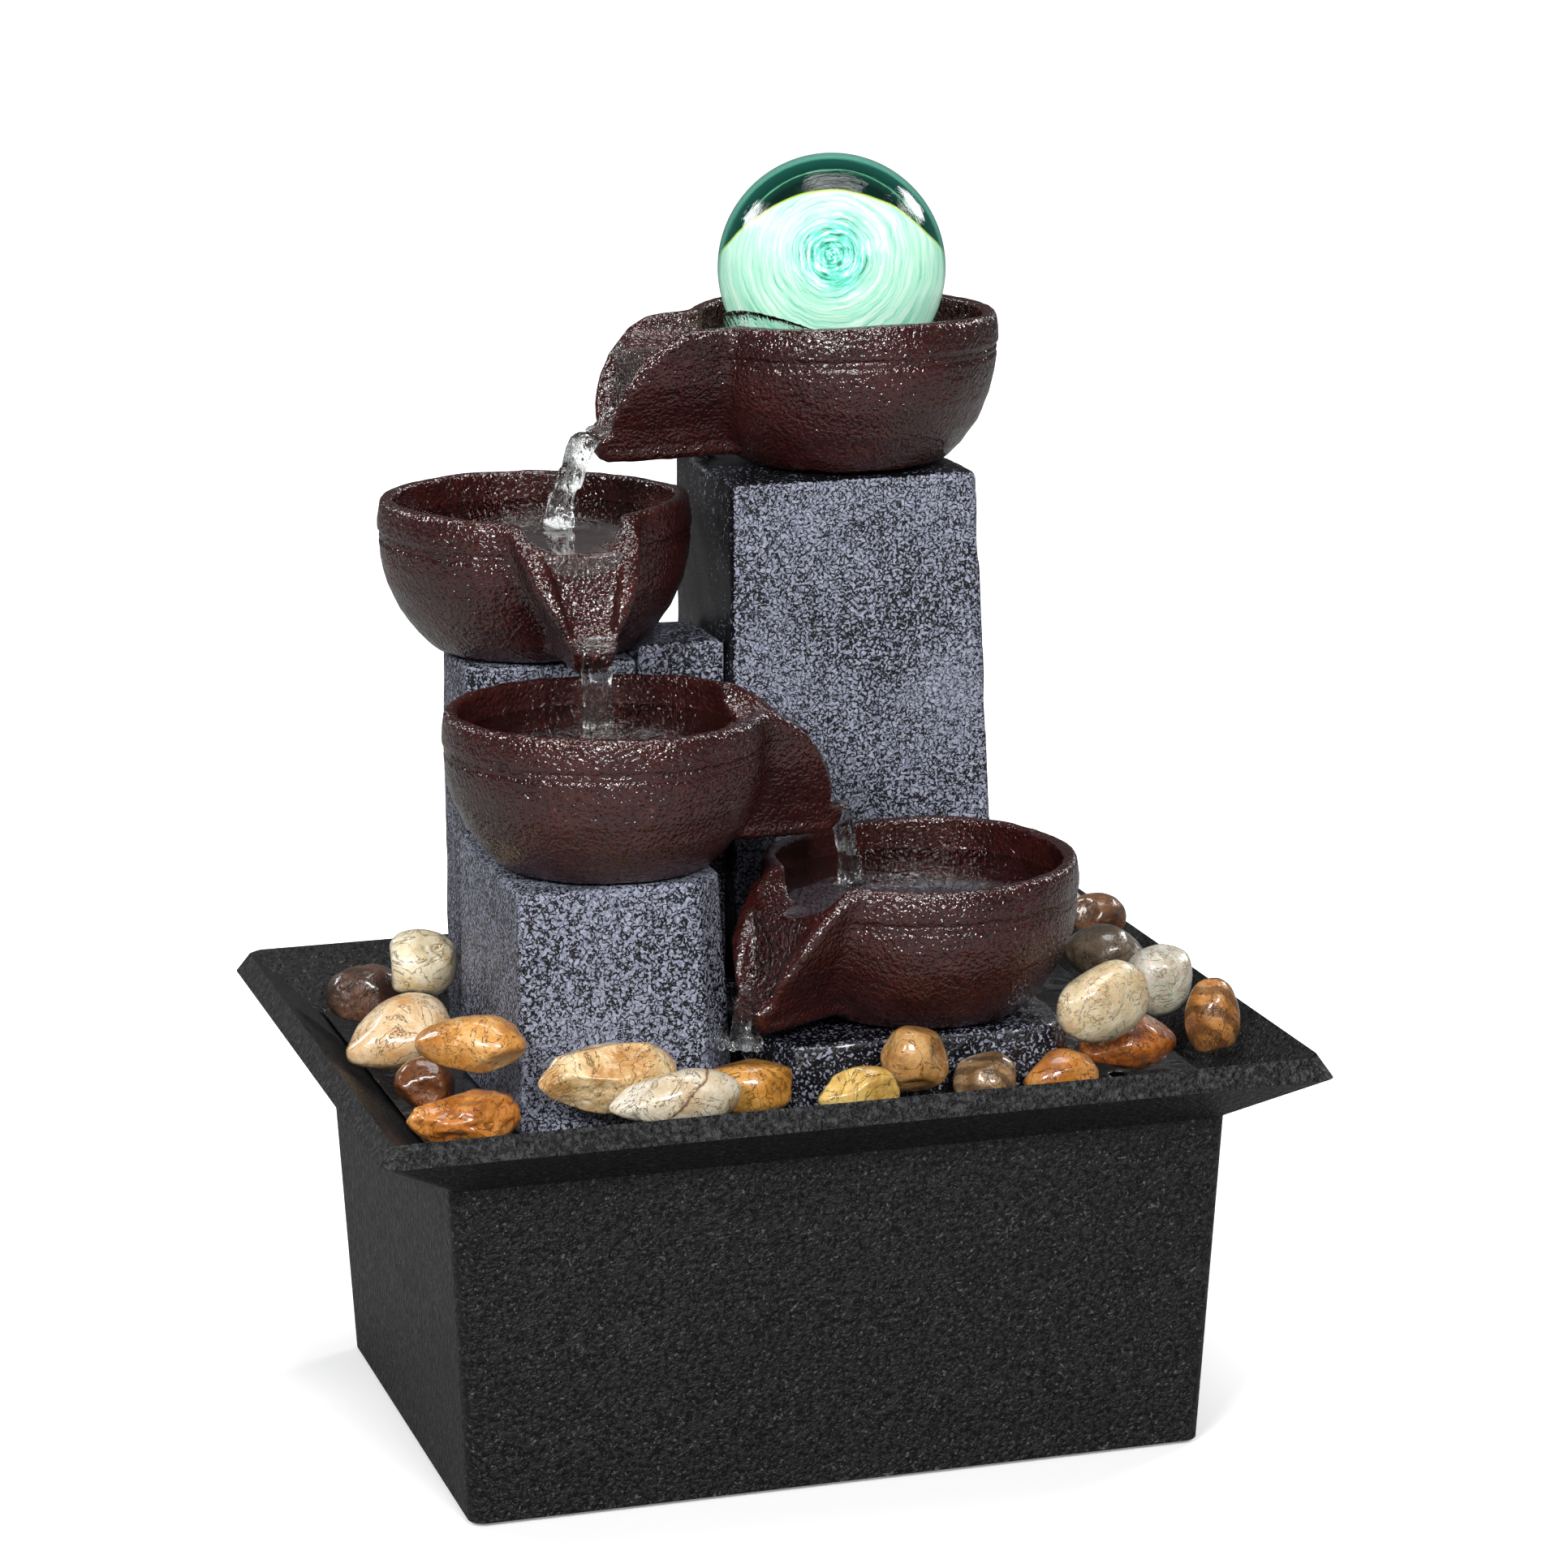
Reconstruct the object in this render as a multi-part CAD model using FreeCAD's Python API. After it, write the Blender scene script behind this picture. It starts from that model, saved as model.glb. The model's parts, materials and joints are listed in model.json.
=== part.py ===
"""Tabletop water fountain: four cascading bowls on stone pillars over a pebble-filled basin.

Millimetres. +Z is up, +X is to the right and +Y is towards the back. The origin is
on the table, in the middle of the basin's footprint.
"""
import FreeCAD, Part
import math
import os

from FreeCAD import Matrix, Rotation, Vector

# ---------------------------------------------------------------- driving dimensions
# Basin: half sizes in X and Y of its rectangular sections, from the floor up.
BASE_Z = 1.0
BASE_HALF = (81.2, 58.0)
NECK_Z = 75.0
NECK_HALF = (84.9, 61.7)
LIP_Z = 86.6
LIP_HALF = (102.5, 79.3)
RIDGE_Z = 91.1
RIDGE_HALF = (99.8, 76.6)
SEAT_Z = 76.0
SEAT_HALF = (82.5, 59.3)
BASIN_WALL = 2.5
BASIN_CORNER = 3.5

# Deck that drops into the basin and carries the tower and the pebbles.
DECK_BOTTOM = 76.4
DECK_TOP = 80.0
DECK_GAP = 0.35
DRAIN_RADIUS = 2.0

# Bowls: rim centre, direction of the spout in degrees from +X, and its reach.
BOWL_RADIUS = 34.0
BOWL_DEPTH = 33.0
BOWL_WALL = 3.2
FOOT_RADIUS = 23.5
SILL_DROP = 7.0
SPOUT_DROP = 30.5
BOWLS = {
    "top_bowl": ((28.5, 31.0, 238.4), 184.8, 60.0),
    "second_bowl": ((-41.5, 33.0, 200.5), 271.0, 50.0),
    "third_bowl": ((-41.0, -23.0, 165.2), 359.0, 51.5),
    "fourth_bowl": ((27.0, -27.0, 129.1), 205.5, 51.0),
}
# Spout seen from its front: height against the rim, half width outside, half width of
# the channel between its two ridges.
SPOUT_FRONT = [
    (3.0, 14.4, 11.8),
    (-3.0, 14.2, 10.6),
    (-8.0, 12.8, 8.6),
    (-13.0, 11.3, 6.9),
    (-17.5, 9.0, 5.8),
    (-22.5, 6.1, 4.8),
    (-27.0, 4.3, 3.4),
    (-31.0, 4.0, 2.6),
]
BOND_GAP = 0.2

# Crystal ball, its seat and the jet under it.
BALL_RADIUS = 25.0
BALL_CENTRE = (26.0, 31.0, 247.5)
BALL_GAP = 0.3
SEAT_INNER = 14.2
SEAT_OUTER = 17.0
SEAT_FOOT = 17.8
SEAT_TOP = 229.0

# Riser: the pump outlet, the tube and the nozzle share one vertical axis.
RISER_X = 26.0
RISER_Y = 31.0
TUBE_INNER = 4.0
TUBE_OUTER = 5.75
TUBE_BOTTOM = 46.0
BARB_RADIUS = 3.93
BARB_BORE = 2.6

# Tall pillar, hollow, with its back closed by a screwed cover.
TALL_TOP = 205.0
TALL_FRONT = 8.0
TALL_BACK = 54.0
TALL_WALL = 5.0
COVER_THICK = 3.0

# Pump: its shaft lies along X at this height.
PUMP_AXIS_Z = 25.0
PUMP_HALF_Y = 15.0
PUMP_Z = (9.0, 41.0)
MOTOR_X = (32.0, 66.0)
VOLUTE_X = (20.0, 32.0)
COVER_X = (12.0, 20.0)
SHAFT_RADIUS = 1.0
RUNNING_FIT = 0.06

# Led lamp beside the nozzle.
LED_X = 35.9
LED_Y = 31.0
LED_RADIUS = 3.6
LEAD_RADIUS = 1.5
LEAD_ROUTE = [
    (35.9, 31.0, 196.2),
    (35.9, 31.0, 172.0),
    (39.0, 34.5, 136.0),
    (37.0, 38.5, 102.0),
    (38.0, 39.5, 76.0),
]

# Pebbles: centre, half sizes along the stone's own length, width and height, then
# its turn about Z and its pitch (nose up) in degrees.
PEBBLES = {
    "pebble_white_pitted": ((-72.5, 17.5, 101.0), (9.0, 8.0, 9.0), 10, 0),
    "pebble_dark_brown": ((-81.5, 35.0, 90.0), (9.5, 8.5, 7.5), 0, 0),
    "pebble_pale_tan": ((-82.5, -3.0, 92.0), (13.0, 9.0, 8.0), 20, -14),
    "pebble_honey": ((-77.5, -52.0, 102.8), (13.0, 8.5, 7.0), -25, 0),
    "pebble_wedge_brown": ((-83.0, -31.0, 89.0), (7.0, 7.0, 6.0), 0, 0),
    "pebble_rough_orange": ((-79.8, -54.0, 88.5), (12.5, 8.5, 6.5), 3, 0),
    "pebble_cream": ((-49.5, -54.2, 94.5), (15.5, 7.5, 9.0), 5, 0),
    "pebble_seamed_grey": ((-39.5, -67.5, 92.5), (15.5, 6.0, 6.3), 2, 0),
    "pebble_wet_ochre": ((-20.5, -56.0, 90.0), (12.0, 7.3, 6.5), -3, 0),
    "pebble_mustard": ((0.5, -66.0, 89.7), (10.0, 5.2, 5.5), 0, 0),
    "pebble_tan": ((15.5, -59.0, 93.5), (8.5, 6.0, 7.4), 0, 0),
    "pebble_striped": ((30.5, -60.0, 88.0), (7.2, 6.8, 6.0), 0, 0),
    "pebble_amber": ((47.3, -60.2, 87.2), (9.0, 7.0, 6.0), 0, 0),
    "pebble_rust": ((68.8, -43.5, 87.6), (12.0, 8.0, 6.5), 12, 0),
    "pebble_cream_oval": ((59.0, -54.0, 100.5), (12.2, 6.0, 9.0), 15, -6),
    "pebble_slate": ((80.5, 2.0, 95.0), (10.0, 9.0, 6.5), -15, 0),
    "pebble_frosted": ((85.2, -20.0, 94.0), (8.0, 7.5, 8.5), 0, 0),
    "pebble_upright_tan": ((87.0, -47.0, 92.8), (6.3, 7.0, 9.5), 0, 0),
    "pebble_chestnut": ((88.0, 27.0, 96.3), (7.0, 8.0, 6.0), 0, 0),
    "pebble_far_grey": ((86.0, 51.0, 92.5), (9.0, 8.0, 6.0), 20, 0),
    "pebble_back_amber": ((62.0, 62.5, 90.3), (11.0, 8.0, 6.5), 5, 0),
    "pebble_back_brown": ((34.0, 64.0, 91.0), (12.0, 7.5, 6.5), -4, 0),
    "pebble_back_white": ((4.0, 63.0, 91.0), (12.0, 8.0, 6.5), 3, 0),
    "pebble_back_ochre": ((-28.0, 59.5, 90.5), (14.0, 9.5, 7.5), -6, 0),
    "pebble_back_grey": ((-60.0, 56.0, 88.5), (11.0, 9.0, 6.5), 15, 0),
}

X_AXIS = Vector(1, 0, 0)
Y_AXIS = Vector(0, 1, 0)
Z_AXIS = Vector(0, 0, 1)


# ---------------------------------------------------------------- helpers
def block(x, y, z):
    """A box between the two values given for each axis."""
    return Part.makeBox(x[1] - x[0], y[1] - y[0], z[1] - z[0], Vector(x[0], y[0], z[0]))


def rod(radius, start, axis, length):
    """A solid cylinder from a start point along an axis."""
    return Part.makeCylinder(radius, length, Vector(*start), axis)


def ring(outer, inner, start, axis, length):
    """A tube with flat ends."""
    return rod(outer, start, axis, length).cut(rod(inner, start, axis, length))


def rounded_rectangle(half, corner, z):
    """A closed horizontal wire, a rectangle with rounded corners about the Z axis."""
    x, y = half
    edges = []
    for sign_x, sign_y, start in ((1, 1, 0), (-1, 1, 90), (-1, -1, 180), (1, -1, 270)):
        centre = Vector(sign_x * (x - corner), sign_y * (y - corner), z)
        circle = Part.Circle(centre, Z_AXIS, corner)
        arc = Part.Arc(circle, math.radians(start), math.radians(start + 90))
        edges.append(arc.toShape())
    joined = []
    for index, arc in enumerate(edges):
        joined.append(arc)
        end = arc.Vertexes[1].Point
        following = edges[(index + 1) % 4].Vertexes[0].Point
        joined.append(Part.LineSegment(end, following).toShape())
    return Part.Wire(joined)


def rectangle_loft(sections):
    """A solid with straight sides through rounded rectangles (half sizes, corner, z)."""
    wires = [rounded_rectangle(half, corner, z) for half, corner, z in sections]
    return Part.makeLoft(wires, True, True)


def prism_loft(lower, upper, z_lower, z_upper):
    """A tapered prism between two plan outlines with the same number of corners."""
    wires = []
    for outline, z in ((lower, z_lower), (upper, z_upper)):
        points = [Vector(x, y, z) for x, y in outline]
        wires.append(Part.makePolygon(points + points[:1]))
    return Part.makeLoft(wires, True, True)


def edges_along(solid, axis):
    """Straight edges of a block that run along an axis."""
    return [edge for edge in solid.Edges if abs(edge.tangentAt(0).dot(axis)) > 0.9]


def soften_edges(solid, radius):
    """Round the upright and the top edges of a pillar."""
    top = solid.BoundBox.ZMax
    chosen = []
    for edge in solid.Edges:
        low = min(vertex.Z for vertex in edge.Vertexes)
        high = max(vertex.Z for vertex in edge.Vertexes)
        if high > top - 0.01 and high - low > 1.0 or low > top - 0.01:
            chosen.append(edge)
    return solid.makeFillet(radius, chosen)


def extrude_side(points, half_width):
    """A plate whose outline lies in the XZ plane, centred on the plane y = 0."""
    corners = [Vector(x, -half_width, z) for x, z in points]
    face = Part.Face(Part.makePolygon(corners + corners[:1]))
    return face.extrude(Vector(0, 2 * half_width, 0))


def save(name, solid):
    """Write one part and report what it holds."""
    solid.exportStep("parts/" + name + ".step")
    print(name, "solids", len(solid.Solids), "volume", round(solid.Volume, 1))


# ---------------------------------------------------------------- basin and its fittings
GROMMET_X = 40.0
GROMMET_Z = 64.0
GROMMET_BORE = 2.75
GROMMET_NECK = 4.5
GROMMET_FLANGE = 6.5
GROMMET_CORNER = 1.2
FLANGE_THICK = 1.8
FOOT_PLACES = [(x, y) for x in (-68.0, 68.0) for y in (-45.0, 45.0)]


def back_wall_y(z):
    """Outer face of the back wall at a height."""
    share = (z - BASE_Z) / (NECK_Z - BASE_Z)
    return BASE_HALF[1] + share * (NECK_HALF[1] - BASE_HALF[1])


def grommet_block(half, start, length):
    """A square block with rounded corners through the back wall, running along Y."""
    solid = block(
        (GROMMET_X - half, GROMMET_X + half),
        (start, start + length),
        (GROMMET_Z - half, GROMMET_Z + half),
    )
    return solid.makeFillet(GROMMET_CORNER, edges_along(solid, Y_AXIS))


def basin():
    """Moulded tub with a flared rim and a square window for the cable grommet."""
    outer = rectangle_loft([
        (BASE_HALF, BASIN_CORNER, BASE_Z),
        (NECK_HALF, BASIN_CORNER, NECK_Z),
        (LIP_HALF, BASIN_CORNER, LIP_Z),
        (RIDGE_HALF, BASIN_CORNER, RIDGE_Z),
    ])
    inner_base = (BASE_HALF[0] - BASIN_WALL, BASE_HALF[1] - BASIN_WALL)
    inner = rectangle_loft([
        (inner_base, BASIN_CORNER - 1.5, BASE_Z + BASIN_WALL),
        (SEAT_HALF, BASIN_CORNER - 1.5, SEAT_Z),
        (RIDGE_HALF, BASIN_CORNER - 1.5, RIDGE_Z),
    ])
    window = grommet_block(GROMMET_NECK, 50.0, 20.0)
    return outer.cut(inner).cut(window)


def foot_pads():
    pads = [rod(6.0, (x, y, 0.0), Z_AXIS, BASE_Z) for x, y in FOOT_PLACES]
    return Part.makeCompound(pads)


def cable_grommet():
    """Rubber bush in the back wall, with a flange on each side of it."""
    face = back_wall_y(GROMMET_Z)
    slope_room = 0.6
    inside = face - BASIN_WALL - slope_room
    outside = face + slope_room
    neck = grommet_block(GROMMET_NECK, inside, outside - inside)
    inner_flange = grommet_block(GROMMET_FLANGE, inside - FLANGE_THICK, FLANGE_THICK)
    outer_flange = grommet_block(GROMMET_FLANGE, outside, FLANGE_THICK)
    bore = rod(GROMMET_BORE, (GROMMET_X, inside - 5.0, GROMMET_Z), Y_AXIS, 20.0)
    return neck.fuse([inner_flange, outer_flange]).cut(bore).removeSplitter()


# ---------------------------------------------------------------- pump
WELL_RADIUS = 8.3
ROTOR_RADIUS = 7.6
CHAMBER_RADIUS = 12.0
MOTOR_BORE_END = 56.0
SHAFT_X = (22.5, 58.0)
PUMP_FILLET = 3.0
BUSH_RADIUS = 1.5
HUB_RADIUS = 3.0
BLADE_COUNT = 6
BLADE_REACH = 10.4
BLADE_HALF = 0.6


def pump_block(x):
    """A length of the pump's case, with its long edges rounded."""
    case = block(x, (RISER_Y - PUMP_HALF_Y, RISER_Y + PUMP_HALF_Y), PUMP_Z)
    return case.makeFillet(PUMP_FILLET, edges_along(case, X_AXIS))


def at_axis(x):
    """A point on the pump's shaft line."""
    return (x, RISER_Y, PUMP_AXIS_Z)


def pump_motor():
    """Potted motor with the rotor well in its front."""
    body = pump_block(MOTOR_X)
    well = rod(WELL_RADIUS, at_axis(MOTOR_X[0]), X_AXIS, MOTOR_BORE_END - MOTOR_X[0])
    socket = rod(BUSH_RADIUS, at_axis(MOTOR_BORE_END), X_AXIS, 3.0)
    return body.cut(well).cut(socket)


def pump_volute():
    """Impeller chamber with the outlet stub on top."""
    body = pump_block(VOLUTE_X)
    stub = rod(BARB_RADIUS, (RISER_X, RISER_Y, PUMP_Z[1] - 1.0), Z_AXIS, 16.0)
    collar = rod(TUBE_OUTER - 0.2, (RISER_X, RISER_Y, PUMP_Z[1] - 1.0), Z_AXIS, 4.0)
    body = body.fuse([collar, stub])
    chamber = rod(CHAMBER_RADIUS, at_axis(VOLUTE_X[0]), X_AXIS, VOLUTE_X[1] - VOLUTE_X[0] - 1.5)
    neck = rod(WELL_RADIUS, at_axis(VOLUTE_X[0]), X_AXIS, VOLUTE_X[1] - VOLUTE_X[0])
    outlet = rod(BARB_BORE, (RISER_X, RISER_Y, PUMP_AXIS_Z), Z_AXIS, 40.0)
    return body.cut(chamber).cut(neck).cut(outlet).removeSplitter()


def shaft_bush():
    """Rubber bush that holds the shaft at the bottom of the rotor well."""
    return ring(BUSH_RADIUS, SHAFT_RADIUS, at_axis(MOTOR_BORE_END), X_AXIS, 2.0)


def impeller_shaft():
    return rod(SHAFT_RADIUS, at_axis(SHAFT_X[0]), X_AXIS, SHAFT_X[1] - SHAFT_X[0])


def impeller():
    """Hub and six straight blades."""
    hub = rod(HUB_RADIUS, at_axis(23.5), X_AXIS, 9.5)
    disc = rod(ROTOR_RADIUS, at_axis(29.2), X_AXIS, 1.6)
    blades = []
    for count in range(BLADE_COUNT):
        blade = block(
            (23.5, 29.4),
            (RISER_Y - BLADE_HALF, RISER_Y + BLADE_HALF),
            (PUMP_AXIS_Z, PUMP_AXIS_Z + BLADE_REACH),
        )
        blade.rotate(Vector(*at_axis(0.0)), X_AXIS, count * 360 / BLADE_COUNT)
        blades.append(blade)
    wheel = hub.fuse([disc] + blades)
    bore = rod(SHAFT_RADIUS + RUNNING_FIT, at_axis(20.0), X_AXIS, 15.0)
    return wheel.cut(bore).removeSplitter()


def rotor_magnet():
    """Ring magnet behind the blades, in the rotor well."""
    return ring(ROTOR_RADIUS, SHAFT_RADIUS + RUNNING_FIT, at_axis(33.2), X_AXIS, 20.0)


DIAL_Z = 17.0
PIVOT_RADIUS = 2.0
COVER_WALL = 2.0
SLOT_PITCH = 3.4
SLOT_HEIGHT = 1.8
FOAM_MARGIN = 2.2


def pump_cover():
    """Snap-on intake cover: a shallow cup with slots in its front."""
    hollow = block(
        (COVER_X[0] + COVER_WALL, COVER_X[1] + 1.0),
        (RISER_Y - PUMP_HALF_Y + COVER_WALL, RISER_Y + PUMP_HALF_Y - COVER_WALL),
        (PUMP_Z[0] + COVER_WALL, PUMP_Z[1] - COVER_WALL),
    )
    shell = pump_block(COVER_X).cut(hollow)
    for count in range(4):
        low = PUMP_AXIS_Z + 1.0 + count * SLOT_PITCH
        slot = block((COVER_X[0] - 1, COVER_X[0] + 3), (RISER_Y - 10, RISER_Y + 10), (low, low + SLOT_HEIGHT))
        shell = shell.cut(slot)
    pivot = rod(PIVOT_RADIUS, (COVER_X[0] - 4.0, RISER_Y, DIAL_Z), X_AXIS, 4.5)
    return shell.fuse(pivot).removeSplitter()


def intake_foam():
    """Coarse foam block behind the slots."""
    return block(
        (COVER_X[0] + FOAM_MARGIN, COVER_X[1] - 0.8),
        (RISER_Y - PUMP_HALF_Y + FOAM_MARGIN, RISER_Y + PUMP_HALF_Y - FOAM_MARGIN),
        (PUMP_Z[0] + FOAM_MARGIN, PUMP_Z[1] - FOAM_MARGIN),
    )


def flow_dial():
    """Flow setting disc with a finger rib, on the cover's pivot."""
    disc = rod(6.5, (COVER_X[0] - 3.2, RISER_Y, DIAL_Z), X_AXIS, 2.8)
    rib = block(
        (COVER_X[0] - 6.5, COVER_X[0] - 3.0),
        (RISER_Y - 1.0, RISER_Y + 1.0),
        (DIAL_Z + 2.4, DIAL_Z + 6.2),
    )
    bore = rod(PIVOT_RADIUS + RUNNING_FIT, (COVER_X[0] - 8.0, RISER_Y, DIAL_Z), X_AXIS, 9.0)
    return disc.fuse(rib).cut(bore).removeSplitter()


CUP_SKIRT = 5.5
CUP_STEM = 2.4
CUP_HEIGHT = 3.0


def suction_cups():
    """Four cups under the pump, standing on the basin floor."""
    floor = BASE_Z + BASIN_WALL
    stem_length = PUMP_Z[0] - floor - CUP_HEIGHT
    cups = []
    for x in (26.0, 58.0):
        for side in (-9.0, 9.0):
            centre = Vector(x, RISER_Y + side, floor)
            skirt = Part.makeCone(CUP_SKIRT, CUP_STEM, CUP_HEIGHT, centre)
            stem = rod(CUP_STEM, (x, RISER_Y + side, floor + CUP_HEIGHT), Z_AXIS, stem_length)
            hollow = Part.makeCone(CUP_SKIRT - 1.2, CUP_STEM - 1.0, CUP_HEIGHT - 1.0, centre)
            cups.append(skirt.fuse(stem).cut(hollow).removeSplitter())
    return Part.makeCompound(cups)


def pump_gland():
    """Tapered rubber gland where the pump's supply enters."""
    start = Vector(MOTOR_X[1], RISER_Y, PUMP_AXIS_Z + 8.0)
    sleeve = Part.makeCone(4.0, 2.8, 7.0, start, X_AXIS)
    return sleeve.cut(Part.makeCylinder(1.8, 7.0, start, X_AXIS))


# ---------------------------------------------------------------- deck and pillars
TALL_LOWER = [(-4.2, TALL_FRONT), (58.0, TALL_FRONT), (57.0, TALL_BACK), (-4.2, TALL_BACK)]
TALL_UPPER = [(-4.0, TALL_FRONT), (52.2, TALL_FRONT), (51.5, TALL_BACK), (-4.0, TALL_BACK)]
SHAFT_ROOM = ((1.0, 47.0), (TALL_FRONT + TALL_WALL, TALL_BACK + 1.0), (DECK_TOP - 1.0, TALL_TOP - TALL_WALL))
COVER_PLAN = (-0.4, 48.4)
COVER_Z = (DECK_TOP + 0.3, 201.4)
SCREW_PLACES = [(x, z) for x in (1.2, 46.8) for z in (104.0, 189.0)]
DECK_OPENING = ((2.0, 46.0), (TALL_FRONT + 7.0, TALL_BACK - 4.0))
SHANK_RADIUS = 1.5
HEAD_RADIUS = 2.9
CROSS_HALF = 0.35
DRAINS = [(x, y) for x in (-70.0, -10.0, 68.0) for y in (-52.0, -40.0, 22.0, 48.0)]


def stone_deck():
    """Drop-in tray with drain holes and the opening over the pump."""
    slope = (RIDGE_HALF[0] - SEAT_HALF[0]) / (RIDGE_Z - SEAT_Z)
    sections = []
    for z in (DECK_BOTTOM, DECK_TOP):
        spread = slope * (z - SEAT_Z) - DECK_GAP
        half = (SEAT_HALF[0] + spread, SEAT_HALF[1] + spread)
        sections.append((half, BASIN_CORNER, z))
    deck = rectangle_loft(sections)
    deck = deck.cut(block(DECK_OPENING[0], DECK_OPENING[1], (DECK_BOTTOM - 1, DECK_TOP + 1)))
    for x, y in DRAINS:
        deck = deck.cut(rod(DRAIN_RADIUS, (x, y, DECK_BOTTOM - 1), Z_AXIS, 6.0))
    return deck


def screw_rod(radius, x, z, start, length):
    return rod(radius, (x, start, z), Y_AXIS, length)


def tall_pillar():
    """Hollow casting with an open back, a rebate for the cover and a nub on top."""
    pillar = prism_loft(TALL_LOWER, TALL_UPPER, DECK_TOP, TALL_TOP)
    pillar = soften_edges(pillar, 1.2)
    nub = block((-3.4, 1.4), (41.0, 48.0), (TALL_TOP - 1.0, TALL_TOP + 3.6))
    pillar = pillar.fuse(nub)
    pillar = pillar.cut(block(*SHAFT_ROOM))
    rebate = block((COVER_PLAN[0] - 0.2, COVER_PLAN[1] + 0.2), (TALL_BACK - COVER_THICK, TALL_BACK + 1),
                   (DECK_TOP - 1, COVER_Z[1] + 0.2))
    pillar = pillar.cut(rebate)
    boss_y = TALL_BACK - COVER_THICK - 10.0
    for x, z in SCREW_PLACES:
        inward = (x, x + 4.0) if x < 20 else (x - 4.0, x)
        boss = block((inward[0] - 1.0, inward[1] + 1.0), (boss_y, TALL_BACK - COVER_THICK), (z - 4, z + 4))
        pillar = pillar.fuse(boss)
    for x, z in SCREW_PLACES:
        pillar = pillar.cut(screw_rod(SHANK_RADIUS + 0.05, screw_x(x), z, boss_y + 1.0, 12.0))
    pillar = pillar.cut(rod(TUBE_OUTER + 0.1, (RISER_X, RISER_Y, TALL_TOP - 10), Z_AXIS, 20))
    pillar = pillar.cut(rod(LED_RADIUS + 0.1, (LED_X, LED_Y, TALL_TOP - 10), Z_AXIS, 20))
    return pillar.removeSplitter()


def screw_x(x):
    """Screws sit a little inward of the pillar's side walls."""
    return x + 2.0 if x < 20 else x - 2.0


def rear_cover():
    cover = block(COVER_PLAN, (TALL_BACK - COVER_THICK + 0.1, TALL_BACK), COVER_Z)
    cover = cover.makeFillet(1.0, edges_along(cover, Y_AXIS))
    for x, z in SCREW_PLACES:
        cover = cover.cut(screw_rod(SHANK_RADIUS + 0.25, screw_x(x), z, TALL_BACK - 6, 10.0))
    return cover


def cover_screws():
    """Four pan-head self-tapping screws with a cross slot."""
    screws = []
    for x, z in SCREW_PLACES:
        middle = screw_x(x)
        shank = screw_rod(SHANK_RADIUS, middle, z, TALL_BACK - 11.5, 11.5)
        head = screw_rod(HEAD_RADIUS, middle, z, TALL_BACK, 1.6)
        depth = (TALL_BACK + 0.8, TALL_BACK + 2)
        level_slot = block((middle - 2, middle + 2), depth, (z - CROSS_HALF, z + CROSS_HALF))
        upright_slot = block((middle - CROSS_HALF, middle + CROSS_HALF), depth, (z - 2, z + 2))
        screws.append(shank.fuse(head).cut(level_slot).cut(upright_slot).removeSplitter())
    return Part.makeCompound(screws)


LEFT_LOWER = [(-55.5, 12.4), (-24.0, 12.4), (-24.0, 40.0), (-62.0, 40.0), (-62.0, 18.0)]
LEFT_UPPER = [(-57.0, 12.4), (-24.0, 12.4), (-24.0, 39.5), (-61.6, 39.5), (-61.6, 17.0)]
LEDGE_PLAN = [(-23.8, 14.0), (-4.5, 12.4), (-4.5, 38.0), (-23.8, 38.0)]
FRONT_LOWER = [(-66.6, -46.0), (-25.2, -46.0), (-17.5, -37.0), (-17.5, -4.0), (-25.0, 8.0), (-66.6, 8.0)]
FRONT_UPPER = [(-65.8, -46.0), (-27.3, -46.0), (-20.5, -38.0), (-20.5, -4.0), (-27.0, 8.0), (-65.8, 8.0)]
PLINTH_LOWER = [(-9.0, -51.5), (50.0, -52.5), (56.0, -46.0), (56.0, 7.6), (-15.5, 7.6), (-15.5, -38.0)]
PLINTH_UPPER = [(-8.0, -50.0), (48.5, -51.0), (54.0, -45.0), (54.0, 7.6), (-13.5, 7.6), (-13.5, -38.0)]


def bowl_bottom(name):
    return BOWLS[name][0][2] - BOWL_DEPTH


def left_pillar():
    pillar = prism_loft(LEFT_LOWER, LEFT_UPPER, DECK_TOP, bowl_bottom("second_bowl") - BOND_GAP)
    return soften_edges(pillar, 1.0)


def ledge_pillar():
    """Low shoulder between the left and the tall pillar, cleared for the bowl beside it."""
    pillar = prism_loft(LEDGE_PLAN, LEDGE_PLAN, DECK_TOP, 170.0)
    return pillar.cut(placed_bowl_envelope("second_bowl"))


def front_pillar():
    pillar = prism_loft(FRONT_LOWER, FRONT_UPPER, DECK_TOP, bowl_bottom("third_bowl") - BOND_GAP)
    return soften_edges(pillar, 1.0)


def low_plinth():
    plinth = prism_loft(PLINTH_LOWER, PLINTH_UPPER, DECK_TOP, bowl_bottom("fourth_bowl") - BOND_GAP)
    return soften_edges(plinth, 1.0)


# ---------------------------------------------------------------- bowls
def bowl_profile(grow):
    """Half section of the bowl's outside, from the foot to the rim."""
    bottom = -BOWL_DEPTH - grow
    foot = Vector(FOOT_RADIUS + grow, 0, bottom)
    belly = Vector(BOWL_RADIUS - 2.6 + grow, 0, -21.0)
    shoulder = Vector(BOWL_RADIUS + grow, 0, -9.0)
    lip = Vector(BOWL_RADIUS - 0.6 + grow, 0, -1.0)
    rim = Vector(BOWL_RADIUS - 1.6 + grow, 0, grow)
    edges = [
        Part.LineSegment(Vector(0, 0, bottom), foot).toShape(),
        Part.Arc(foot, belly, shoulder).toShape(),
        Part.LineSegment(shoulder, lip).toShape(),
        Part.LineSegment(lip, rim).toShape(),
        Part.LineSegment(rim, Vector(0, 0, grow)).toShape(),
        Part.LineSegment(Vector(0, 0, grow), Vector(0, 0, bottom)).toShape(),
    ]
    return Part.Face(Part.Wire(edges))


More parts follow.
